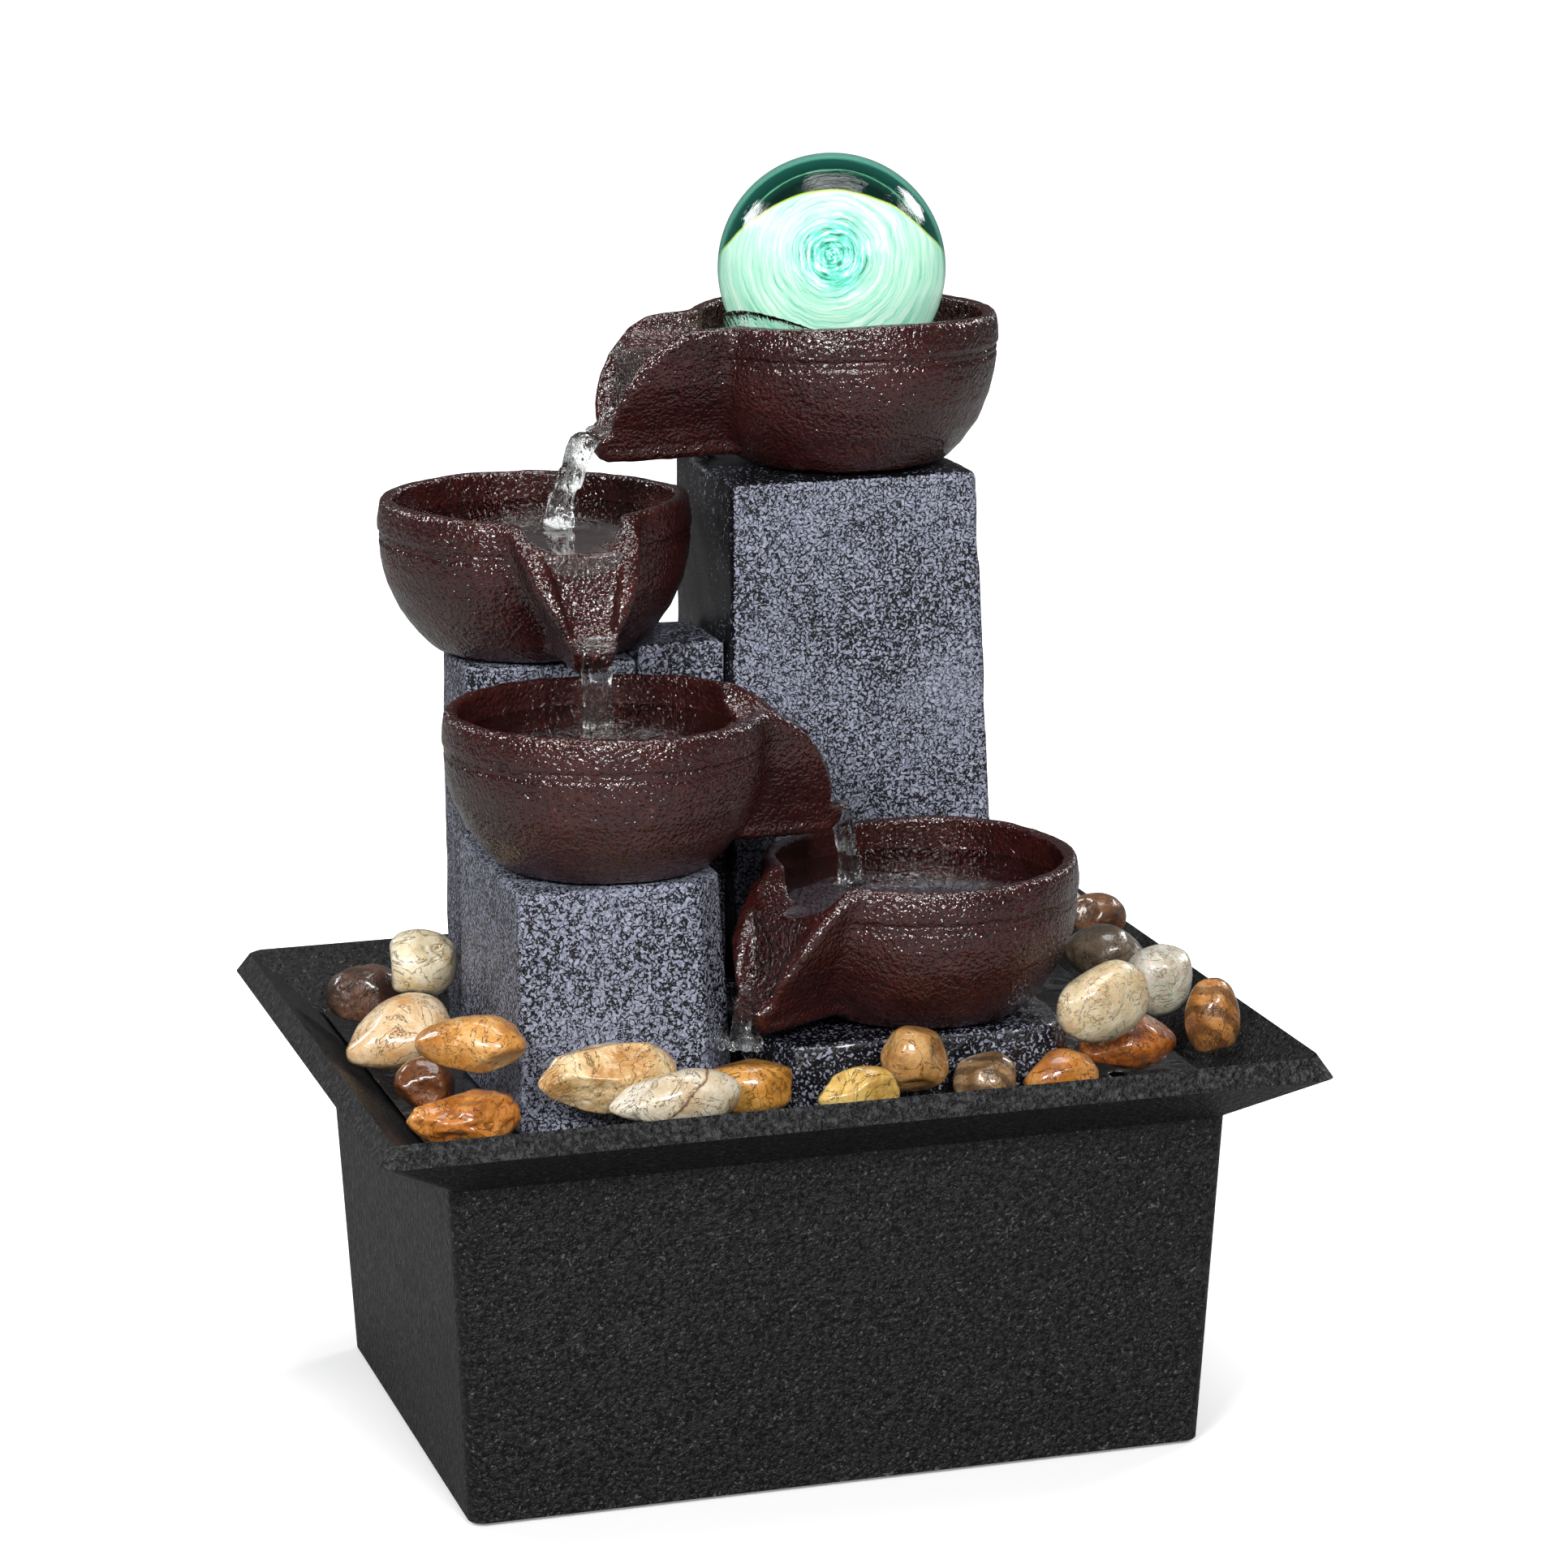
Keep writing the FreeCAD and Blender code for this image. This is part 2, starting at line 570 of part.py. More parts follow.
def bowl_inside():
    """The hollow of a bowl, running up past its rim."""
    floor = -BOWL_DEPTH + BOWL_WALL + 0.8
    wall = BOWL_RADIUS - BOWL_WALL
    low = Vector(FOOT_RADIUS - 3.0, 0, floor)
    high = Vector(wall, 0, -9.0)
    over = Vector(wall, 0, 5.0)
    edges = [
        Part.LineSegment(Vector(0, 0, floor), low).toShape(),
        Part.Arc(low, Vector(wall - 2.7, 0, -20.0), high).toShape(),
        Part.LineSegment(high, over).toShape(),
        Part.LineSegment(over, Vector(0, 0, 5.0)).toShape(),
        Part.LineSegment(Vector(0, 0, 5.0), Vector(0, 0, floor)).toShape(),
    ]
    return Part.Face(Part.Wire(edges)).revolve(Vector(0, 0, 0), Z_AXIS, 360)


def front_prism(near_x, far_x, column):
    """A bar along X whose section is the spout seen from its front."""
    right = [Vector(near_x, row[column], row[0]) for row in SPOUT_FRONT]
    left = [Vector(near_x, -row[column], row[0]) for row in reversed(SPOUT_FRONT)]
    face = Part.Face(Part.makePolygon(right + left + right[:1]))
    return face.extrude(Vector(far_x - near_x, 0, 0))


def spout_body(reach):
    """Beak that leaves the rim level and curves down to its lip."""
    half = 20.0
    ridge = Part.Arc(
        Vector(29.0, -half, -0.6),
        Vector(reach - 9.0, -half, -8.3),
        Vector(reach - 3.2, -half, -21.5),
    )
    lip = Vector(reach, -half, -25.0)
    chin = Vector(reach - 0.8, -half, -27.5)
    under = Vector(reach - 3.4, -half, -SPOUT_DROP)
    root = Vector(20.0, -half, -SPOUT_DROP)
    back = Vector(20.0, -half, -0.6)
    corners = [ridge.EndPoint, lip, chin, under, root, back, ridge.StartPoint]
    edges = [ridge.toShape()]
    for start, end in zip(corners, corners[1:]):
        edges.append(Part.LineSegment(start, end).toShape())
    side = Part.Face(Part.Wire(edges)).extrude(Vector(0, 2 * half, 0))
    return side.common(front_prism(20.0, reach + 1.0, 1))


def spout_channel(reach):
    """Space that the water runs through: a level sill, then a steep chute to the lip."""
    floor = [
        (20.0, -SILL_DROP),
        (reach - 10.0, -SILL_DROP - 0.2),
        (reach - 9.2, -13.5),
        (reach - 7.3, -19.5),
        (reach - 3.5, -23.6),
        (reach + 3.0, -26.2),
        (reach + 3.0, 2.5),
        (20.0, 2.5),
    ]
    return extrude_side(floor, 20.0).common(front_prism(20.0, reach + 4.0, 2))


def place(shape, name):
    centre, direction = BOWLS[name][0], BOWLS[name][1]
    shape.rotate(Vector(0, 0, 0), Z_AXIS, direction)
    shape.translate(Vector(*centre))
    return shape


def placed_bowl_envelope(name):
    solid = bowl_profile(BOND_GAP + 0.1).revolve(Vector(0, 0, 0), Z_AXIS, 360)
    return place(solid, name)


def bowl(name):
    reach = BOWLS[name][2]
    outside = bowl_profile(0.0).revolve(Vector(0, 0, 0), Z_AXIS, 360)
    solid = outside.fuse(spout_body(reach))
    solid = solid.cut(bowl_inside())
    solid = solid.cut(spout_channel(reach))
    return place(solid, name).removeSplitter()


def top_bowl():
    """The highest bowl, pierced for the nozzle and for the lamp."""
    solid = bowl("top_bowl")
    low = bowl_bottom("top_bowl") - 2.0
    solid = solid.cut(rod(NOZZLE_HOLE, (RISER_X, RISER_Y, low), Z_AXIS, 12.0))
    return solid.cut(rod(LED_RADIUS + 0.1, (LED_X, LED_Y, low), Z_AXIS, 12.0))


# ---------------------------------------------------------------- riser, nozzle and lamp
FLOOR_Z = BOWLS["top_bowl"][0][2] - BOWL_DEPTH + BOWL_WALL + 0.8
NOZZLE_LOW = 195.0
NOZZLE_SPIGOT = 3.95
NOZZLE_HOLE = 4.1
JET_RADIUS = 0.5
JET_CIRCLE = 1.7
TUBE_TOP = bowl_bottom("top_bowl") - BOND_GAP - 1.0


def riser_tube():
    return ring(TUBE_OUTER, TUBE_INNER, (RISER_X, RISER_Y, TUBE_BOTTOM), Z_AXIS, TUBE_TOP - TUBE_BOTTOM)


def nozzle():
    """Spigot in the tube's top, with a flange on the bowl floor and four jets."""
    spigot = rod(NOZZLE_SPIGOT, (RISER_X, RISER_Y, NOZZLE_LOW), Z_AXIS, FLOOR_Z - NOZZLE_LOW)
    flange = rod(5.6, (RISER_X, RISER_Y, FLOOR_Z), Z_AXIS, 2.0)
    head = Part.makeCone(4.6, 3.4, 2.6, Vector(RISER_X, RISER_Y, FLOOR_Z + 2.0))
    body = spigot.fuse([flange, head])
    bore = rod(BARB_BORE, (RISER_X, RISER_Y, NOZZLE_LOW), Z_AXIS, FLOOR_Z + 3.2 - NOZZLE_LOW)
    body = body.cut(bore)
    for count in range(4):
        angle = math.radians(45 + 90 * count)
        x = RISER_X + JET_CIRCLE * math.cos(angle)
        y = RISER_Y + JET_CIRCLE * math.sin(angle)
        body = body.cut(rod(JET_RADIUS, (x, y, FLOOR_Z + 2.0), Z_AXIS, 5.0))
    return body.removeSplitter()


LED_LOW = 196.0


def led_housing():
    """Sealed capsule through the bowl floor, open at the top for its lens."""
    shell = rod(LED_RADIUS, (LED_X, LED_Y, LED_LOW), Z_AXIS, FLOOR_Z + 3.0 - LED_LOW)
    hollow = rod(LED_RADIUS - 0.8, (LED_X, LED_Y, LED_LOW + 1.2), Z_AXIS, 30.0)
    entry = rod(LEAD_RADIUS + 0.1, (LED_X, LED_Y, LED_LOW - 1), Z_AXIS, 4.0)
    return shell.cut(hollow).cut(entry)


def led_board():
    """Round board with one lamp chip."""
    board = rod(LED_RADIUS - 1.0, (LED_X, LED_Y, FLOOR_Z - 1.4), Z_AXIS, 0.8)
    chip = block((LED_X - 1.2, LED_X + 1.2), (LED_Y - 1.2, LED_Y + 1.2), (FLOOR_Z - 0.6, FLOOR_Z + 0.2))
    return board.fuse(chip)


def led_lens():
    """Clear dome that closes the capsule."""
    skirt = rod(LED_RADIUS - 0.9, (LED_X, LED_Y, FLOOR_Z + 0.8), Z_AXIS, 2.2)
    dome = Part.makeSphere(LED_RADIUS, Vector(LED_X, LED_Y, FLOOR_Z + 3.0), Z_AXIS, 0, 90, 360)
    return skirt.fuse(dome).removeSplitter()


def bend(points):
    """Straight runs joined by tangent arcs, with each arc's radius."""
    corners = [Vector(*point) for point in points]
    edges = []
    radii = []
    start = corners[0]
    for before, corner, after in zip(corners, corners[1:], corners[2:]):
        into = (corner - before).normalize()
        out = (after - corner).normalize()
        reach = 0.45 * min((corner - before).Length, (after - corner).Length)
        half_turn = into.getAngle(out) / 2
        radii.append(reach / math.tan(half_turn))
        first = corner - into * reach
        last = corner + out * reach
        inward = (out - into).normalize()
        centre = corner + inward * (radii[-1] / math.cos(half_turn))
        middle = centre - inward * radii[-1]
        edges.append(Part.LineSegment(start, first).toShape())
        edges.append(Part.Arc(first, middle, last).toShape())
        start = last
    edges.append(Part.LineSegment(start, corners[-1]).toShape())
    return Part.Wire(edges), radii


def led_lead():
    """Two-core lead from the lamp down the pillar to its connector."""
    path, radii = bend(LEAD_ROUTE)
    first = Vector(*LEAD_ROUTE[0])
    heading = (Vector(*LEAD_ROUTE[1]) - first).normalize()
    section = Part.Wire(Part.Circle(first, heading, LEAD_RADIUS).toShape())
    solid = path.makePipeShell([section], True, False)
    expected = math.pi * LEAD_RADIUS ** 2 * path.Length
    print("lead radii", [round(radius, 1) for radius in radii], "length", round(path.Length, 1))
    print("lead volume", round(solid.Volume, 1), "expected", round(expected, 1))
    return solid


def led_connector():
    """Waterproof two-pin plug on the lead's lower end."""
    end = Vector(*LEAD_ROUTE[-1])
    heading = (end - Vector(*LEAD_ROUTE[-2])).normalize()
    body = Part.makeCylinder(3.2, 14.0, end, heading)
    grip = Part.makeCylinder(3.9, 4.0, end + heading * 4.0, heading)
    return body.fuse(grip).removeSplitter()


# ---------------------------------------------------------------- ball and seat
def ball_seat():
    """Ring that carries the ball, notched so that water can leave it."""
    centre_x, centre_y = BALL_CENTRE[0], BALL_CENTRE[1]
    base = (centre_x, centre_y, FLOOR_Z + BALL_GAP)
    wall = ring(SEAT_OUTER, SEAT_INNER, base, Z_AXIS, SEAT_TOP - base[2])
    foot = ring(SEAT_FOOT, SEAT_INNER, base, Z_AXIS, 1.6)
    seat = wall.fuse(foot)
    seat = seat.cut(Part.makeSphere(BALL_RADIUS + BALL_GAP, Vector(*BALL_CENTRE)))
    for count in range(6):
        notch = block((centre_x + 10, centre_x + 22), (centre_y - 3, centre_y + 3), (218.0, 232.0))
        notch.rotate(Vector(*BALL_CENTRE), Z_AXIS, 30 + 60 * count)
        seat = seat.cut(notch)
    return seat.removeSplitter()


def crystal_ball():
    return Part.makeSphere(BALL_RADIUS, Vector(*BALL_CENTRE))


# ---------------------------------------------------------------- pebbles
def pebble(centre, halves, turn, pitch):
    """A smooth egg-like stone."""
    stretch = Matrix()
    stretch.scale(*halves)
    stone = Part.makeSphere(1.0).transformGeometry(stretch)
    stone.Placement = FreeCAD.Placement(Vector(*centre), Rotation(turn, pitch, 0))
    return stone


# ---------------------------------------------------------------- build
def main():
    os.makedirs("parts", exist_ok=True)
    builders = [
        basin, foot_pads, cable_grommet,
        pump_motor, pump_volute, shaft_bush, impeller_shaft, suction_cups, pump_gland,
        impeller, rotor_magnet, pump_cover, intake_foam, flow_dial,
        stone_deck, tall_pillar, rear_cover, cover_screws,
        left_pillar, ledge_pillar, front_pillar, low_plinth,
        top_bowl, riser_tube, nozzle,
        led_housing, led_board, led_lens, led_lead, led_connector,
        ball_seat, crystal_ball,
    ]
    for builder in builders:
        save(builder.__name__, builder())
    for name in ("second_bowl", "third_bowl", "fourth_bowl"):
        save(name, bowl(name))
    for name, (centre, halves, turn, pitch) in PEBBLES.items():
        save(name, pebble(centre, halves, turn, pitch))


main()
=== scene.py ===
"""Looks of the tabletop water fountain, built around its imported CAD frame.

Lengths inside the field builders are millimetres; every mesh is scaled to metres on the way out.
"""

import json
import math

import bmesh
import bpy
import numpy as np
import openvdb
from mathutils import Matrix, Vector


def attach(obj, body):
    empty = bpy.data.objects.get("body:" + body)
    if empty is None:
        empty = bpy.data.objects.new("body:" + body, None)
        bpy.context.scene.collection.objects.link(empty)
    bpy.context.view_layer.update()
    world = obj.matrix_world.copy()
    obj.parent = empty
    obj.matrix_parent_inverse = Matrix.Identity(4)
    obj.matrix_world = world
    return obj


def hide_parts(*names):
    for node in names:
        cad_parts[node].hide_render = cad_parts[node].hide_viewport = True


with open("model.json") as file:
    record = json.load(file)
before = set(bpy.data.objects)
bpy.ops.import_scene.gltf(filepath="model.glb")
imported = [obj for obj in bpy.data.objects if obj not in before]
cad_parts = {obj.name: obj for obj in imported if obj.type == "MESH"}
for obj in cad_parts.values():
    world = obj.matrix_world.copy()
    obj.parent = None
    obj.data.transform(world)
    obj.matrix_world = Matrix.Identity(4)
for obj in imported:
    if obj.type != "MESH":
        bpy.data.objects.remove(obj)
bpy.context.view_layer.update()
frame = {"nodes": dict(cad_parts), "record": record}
MM = 0.001

# ---------------------------------------------------------------- sizes shared by several pieces
# Bowls: rim centre, spout direction in degrees from +X, reach of the spout.
BOWLS = {
    "top_bowl": dict(centre=(28.5, 31.0, 238.4), turn=184.8, reach=59.6),
    "second_bowl": dict(centre=(-41.5, 33.0, 200.5), turn=271.0, reach=49.8),
    "third_bowl": dict(centre=(-41.0, -23.0, 165.2), turn=359.0, reach=51.3),
    "fourth_bowl": dict(centre=(27.0, -27.0, 129.1), turn=205.5, reach=50.8),
}
BOWL_DEPTH = 33.0
WALL = 3.2
SILL = 7.0
# Spout seen from its front: height against the rim, half width outside, half width of the
# channel between its ridges.
SPOUT_FRONT = [
    (4.0, 14.4, 11.8), (-3.0, 14.2, 10.6), (-8.0, 12.8, 8.6), (-13.0, 11.3, 6.9),
    (-17.5, 9.0, 5.8), (-22.5, 6.1, 4.8), (-27.0, 4.3, 3.6), (-34.0, 4.0, 3.4),
]
WATER_DROP = {"top_bowl": 6.4, "second_bowl": 6.0, "third_bowl": 6.2, "fourth_bowl": 6.6}

BALL = Vector((26.0, 31.0, 247.5))
BALL_RADIUS = 25.0
SPIN_AXIS = Vector((0.2829, 0.9303, -0.2333)).normalized()


# ---------------------------------------------------------------- fields and meshes
LATTICE = 16


def lattice(seed):
    """Random values on a repeating cubic lattice."""
    return np.random.default_rng(seed).uniform(-1, 1, (LATTICE,) * 3).astype(np.float32)


def bumps(x, y, z, scale, seed):
    """Smooth repeating noise from -1 to 1, whose lumps are about scale wide."""
    values = lattice(seed)
    cell, part = [], []
    for axis in (x, y, z):
        place = np.asarray(axis, np.float32) / scale
        whole = np.floor(place)
        share = place - whole
        cell.append(whole.astype(np.int32) % LATTICE)
        part.append(share * share * (3 - 2 * share))
    total = 0
    for corner in range(8):
        picks, weight = [], 1
        for axis in range(3):
            up = corner >> axis & 1
            picks.append((cell[axis] + up) % LATTICE)
            weight = weight * (part[axis] if up else 1 - part[axis])
        total = total + weight * values[picks[0], picks[1], picks[2]]
    return total


def smooth_min(a, b, width):
    share = np.clip(0.5 + 0.5 * (b - a) / width, 0, 1)
    return b * (1 - share) + a * share - width * share * (1 - share)


def smooth_max(a, b, width):
    return -smooth_min(-a, -b, width)


def axes(low, high, step):
    """Sample positions along X, Y and Z, shaped so that they broadcast to a grid."""
    lines = [np.arange(a, b + step, step, dtype=np.float32) for a, b in zip(low, high)]
    return lines[0][:, None, None], lines[1][None, :, None], lines[2][None, None, :]


def new_object(name, points, faces):
    mesh = bpy.data.meshes.new(name)
    mesh.vertices.add(len(points))
    mesh.vertices.foreach_set("co", np.asarray(points, np.float32).ravel())
    faces = np.asarray(faces, np.int32)
    corners = faces.shape[1]
    mesh.loops.add(faces.size)
    mesh.loops.foreach_set("vertex_index", faces.ravel())
    mesh.polygons.add(len(faces))
    mesh.polygons.foreach_set("loop_start", np.arange(len(faces), dtype=np.int32) * corners)
    mesh.update(calc_edges=True)
    mesh.validate()
    mesh.shade_smooth()
    piece = bpy.data.objects.new(name, mesh)
    bpy.context.scene.collection.objects.link(piece)
    return piece


def object_from(mesh, name):
    """New object from an edited mesh, shaded smooth."""
    data = bpy.data.meshes.new(name)
    mesh.to_mesh(data)
    mesh.free()
    data.shade_smooth()
    piece = bpy.data.objects.new(name, data)
    bpy.context.scene.collection.objects.link(piece)
    return piece


def copy_of(node, name):
    """Loose copy of a CAD node, with a mesh of its own."""
    piece = frame["nodes"][node].copy()
    piece.data = piece.data.copy()
    piece.name = name
    bpy.context.scene.collection.objects.link(piece)
    piece.parent = None
    for key in list(piece.keys()):
        del piece[key]
    return piece


def skin(name, field, low, step, turn=0.0, centre=(0, 0, 0)):
    """Mesh of the surface where a field is zero, turned about Z, moved into place, in metres."""
    grid = openvdb.FloatGrid(4.0)
    grid.copyFromArray(np.ascontiguousarray(field, dtype=np.float32))
    points, quads = grid.convertToQuads(0.0)
    points = points * step + np.array(low, np.float32)
    angle = math.radians(turn)
    spin = np.array(Matrix.Rotation(angle, 3, "Z"), np.float32)
    points = (points @ spin.T + np.array(centre, np.float32)) * MM
    return new_object(name, points, quads)


def coordinates(piece):
    values = np.empty(len(piece.data.vertices) * 3, np.float32)
    piece.data.vertices.foreach_get("co", values)
    return values.reshape(-1, 3)


def set_coordinates(piece, values):
    piece.data.vertices.foreach_set("co", np.asarray(values, np.float32).ravel())
    piece.data.update()


def vertex_normals(piece):
    values = np.empty(len(piece.data.vertices) * 3, np.float32)
    piece.data.vertex_normals.foreach_get("vector", values)
    return values.reshape(-1, 3)


def apply_modifiers(piece):
    """Turn a piece's modifiers into its mesh."""
    graph = bpy.context.evaluated_depsgraph_get()
    mesh = bpy.data.meshes.new_from_object(piece.evaluated_get(graph))
    piece.modifiers.clear()
    piece.data = mesh


def finish_piece(piece, body, material, slot, *nodes):
    """Dress a piece, tie it to its body and let it stand for its CAD nodes."""
    piece.data.materials.clear()
    piece.data.materials.append(material)
    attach(piece, body)
    if nodes:
        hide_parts(*nodes)
    return piece


# ---------------------------------------------------------------- material recipes
class Look:
    """A node material under construction, around one Principled shader."""

    def __init__(self, name, **settings):
        self.material = bpy.data.materials.new(name)
        self.material.use_nodes = True
        self.tree = self.material.node_tree
        self.shader = self.tree.nodes["Principled BSDF"]
        self.place = self.node("ShaderNodeTexCoord").outputs["Object"]
        self.set(self.shader, **settings)

    def set(self, node, **settings):
        for name, value in settings.items():
            socket = node.inputs[name.replace("_", " ")]
            if isinstance(value, bpy.types.NodeSocket):
                self.tree.links.new(value, socket)
            else:
                socket.default_value = value

    def node(self, kind, properties=None, **settings):
        made = self.tree.nodes.new(kind)
        for name, value in (properties or {}).items():
            setattr(made, name, value)
        self.set(made, **settings)
        return made

    def noise(self, size, detail=3.0, roughness=0.55, distortion=0.0, vector=None):
        """Noise whose lumps are about size metres wide."""
        made = self.node(
            "ShaderNodeTexNoise", None, Vector=vector or self.place, Scale=1.0 / size,
            Detail=detail, Roughness=roughness, Distortion=distortion,
        )
        return made.outputs["Fac"]

    def ramp(self, value, *stops):
        """Colour ramp: stops are (position, colour), where a colour is a grey or an RGB tuple."""
        made = self.node("ShaderNodeValToRGB", None, Fac=value)
        elements = made.color_ramp.elements
        elements.remove(elements[1])
        for index, (position, colour) in enumerate(stops):
            element = elements.new(position) if index else elements[0]
            element.position = position
            rgb = (colour,) * 3 if isinstance(colour, (int, float)) else colour
            element.color = (*rgb, 1.0)
        return made.outputs["Color"]

    def mix(self, share, first, second, blend="MIX"):
        made = self.node("ShaderNodeMix", {"data_type": "RGBA", "blend_type": blend})
        factor, a, b = made.inputs[0], made.inputs[6], made.inputs[7]
        for socket, value in ((factor, share), (a, first), (b, second)):
            if isinstance(value, bpy.types.NodeSocket):
                self.tree.links.new(value, socket)
            elif isinstance(value, tuple):
                socket.default_value = (*value, 1.0)
            else:
                socket.default_value = value
        return made.outputs[2]

    def math(self, operation, a, b=0.0, clamp=False):
        made = self.node("ShaderNodeMath", {"operation": operation, "use_clamp": clamp})
        for socket, value in zip(made.inputs, (a, b)):
            if isinstance(value, bpy.types.NodeSocket):
                self.tree.links.new(value, socket)
            else:
                socket.default_value = value
        return made.outputs[0]

    def relief(self, *layers):
        """Stack of bumps: each layer is (height, depth in metres)."""
        normal = None
        for height, depth in layers:
            made = self.node("ShaderNodeBump", None, Height=height, Strength=1.0, Distance=depth)
            if normal:
                self.tree.links.new(normal, made.inputs["Normal"])
            normal = made.outputs["Normal"]
        self.tree.links.new(normal, self.shader.inputs["Normal"])

    def axis(self, index, vector=None):
        made = self.node("ShaderNodeSeparateXYZ", None, Vector=vector or self.place)
        return made.outputs[index]

    def distance(self, a, b):
        """Length of the vector (a, b)."""
        squares = self.math("ADD", self.math("MULTIPLY", a, a), self.math("MULTIPLY", b, b))
        return self.math("SQRT", squares)


def bowl_look():
    """Maroon glaze with a hammered grain, wet, with a painted highlight that makes its edges paler in patches
    and painted shade that makes its folds black.
    """
    look = Look("bowl_glaze_wet", Specular_IOR_Level=0.75)
    clouds = look.noise(0.016, 4.0, 0.6)
    colour = look.ramp(clouds, (0.3, (0.022, 0.0040, 0.0032)), (0.52, (0.034, 0.0062, 0.0050)),
                       (0.72, (0.050, 0.0098, 0.0078)))
    edge = look.node("ShaderNodeNewGeometry").outputs["Pointiness"]
    # Painted highlight: pointed edges and rims take pale patches of colour that stand in for light glinting
    # on them.
    painted_highlight_edges = look.ramp(edge, (0.53, 0.0), (0.60, 1.0))
    patches = look.ramp(look.noise(0.0030, 5.0, 0.7), (0.50, 0.0), (0.62, 1.0))
    painted_highlight_mask = look.math("MULTIPLY", painted_highlight_edges, patches)
    colour = look.mix(look.math("MULTIPLY", painted_highlight_mask, 0.5), colour, (0.15, 0.09, 0.078))
    # Painted shade: concave folds are coloured near black, where shade falls in them.
    hollow = look.ramp(edge, (0.42, 1.0), (0.49, 0.0))
    colour = look.mix(look.math("MULTIPLY", hollow, 0.9), colour, (0.004, 0.003, 0.0035))
    grain = look.noise(0.0009, 1.0, 0.5, 0.3)
    dimples = look.ramp(grain, (0.38, 1.0), (0.46, 0.0))
    colour = look.mix(look.math("MULTIPLY", dimples, 0.6), colour, (0.005, 0.003, 0.003))
    look.relief((grain, 0.00055))
    rough = look.ramp(look.noise(0.004, 4.0, 0.65), (0.35, 0.09), (0.65, 0.16))
    look.set(look.shader, Base_Color=colour, Roughness=rough)
    return look.material


def pillar_look(name, brush, side, wet=0.0):
    """Black casting, dry-brushed blue-grey: a fine net of paint with dark pits showing through, and less of
    it on faces turned from the front, partly as painted shade.
    """
    look = Look(name, Specular_IOR_Level=0.35, Coat_Weight=wet, Coat_Roughness=0.1)
    curls = look.math("ABSOLUTE", look.math("SUBTRACT", look.noise(0.00105, 1.0, 0.5, 0.4), 0.5))
    fine = look.noise(0.00030, 1.0, 0.5)
    broad = look.noise(0.018, 1.0, 0.5)
    edge = look.node("ShaderNodeNewGeometry").outputs["Pointiness"]
    corner = look.ramp(edge, (0.52, 0.0), (0.57, 0.14))
    normal = look.node("ShaderNodeNewGeometry").outputs["Normal"]
    # Faces turned away from the front lose paint by the side amount: thinner dry-brushing there, and also
    # painted shade on the side faces.
    away = look.ramp(look.math("MULTIPLY", look.axis(1, normal), -1.0), (0.35, side), (0.9, 0.0))
    cover = look.math("ADD", look.math("MULTIPLY", broad, 0.30), brush - 0.15)
    cover = look.math("SUBTRACT", look.math("ADD", cover, corner), away)
    lift = look.math("ADD", curls, look.math("MULTIPLY", fine, 0.03))
    lift = look.math("SUBTRACT", look.math("ADD", lift, look.math("MULTIPLY", cover, 0.3)), 0.052)
    paint = look.math("MULTIPLY", lift, 20.0, clamp=True)
    tint = look.ramp(look.noise(0.0006, 2.0), (0.35, (0.12, 0.135, 0.19)), (0.68, (0.38, 0.39, 0.48)))
    colour = look.mix(paint, (0.003, 0.003, 0.0045), tint)
    look.relief((paint, 0.00025), (fine, 0.00015))
    rough = look.ramp(paint, (0.0, 0.38 - 0.2 * wet), (1.0, 0.6 - 0.3 * wet))
    look.set(look.shader, Base_Color=colour, Roughness=rough)
    return look.material


def basin_look():
    """Charcoal moulding: fine stipple on the walls, coarser and lighter on the rim band."""
    look = Look("basin_charcoal", Specular_IOR_Level=0.22)
    grain = look.noise(0.0011, 2.0, 0.6, 0.4)
    specks = look.ramp(look.noise(0.0009, 2.0, 0.6), (0.63, 0.0), (0.70, 1.0))
    smear = look.noise(0.03, 4.0, 0.6)
    base = look.ramp(smear, (0.3, (0.013, 0.013, 0.0133)), (0.7, (0.018, 0.018, 0.0186)))
    stipple = look.ramp(grain, (0.40, 0.0), (0.60, 1.0))
    base = look.mix(stipple, (0.002, 0.002, 0.0021), base)
    colour = look.mix(look.math("MULTIPLY", specks, 0.6), base, (0.13, 0.13, 0.135))
    height = look.axis(2)
    normal = look.node("ShaderNodeNewGeometry").outputs["Normal"]
    outward = look.math("ADD", look.math("MULTIPLY", look.axis(0), look.axis(0, normal)),
                        look.math("MULTIPLY", look.axis(1), look.axis(1, normal)))
    rises = look.math("GREATER_THAN", look.axis(2, normal), 0.15)
    band = look.math("MULTIPLY", look.math("GREATER_THAN", outward, 0.0), rises)
    band = look.math("MULTIPLY", band, look.math("GREATER_THAN", height, 0.08))
    coarse = look.noise(0.0012, 3.0, 0.6, 0.4)
    band_colour = look.ramp(coarse, (0.46, (0.006, 0.006, 0.0063)), (0.64, (0.042, 0.042, 0.044)))
    colour = look.mix(band, colour, band_colour)
    look.relief((look.math("MULTIPLY", coarse, band), 0.0007), (grain, 0.0012))
    rough = look.ramp(look.noise(0.002, 3.0), (0.3, 0.36), (0.7, 0.52))
    look.set(look.shader, Base_Color=colour, Roughness=rough)
    return look.material


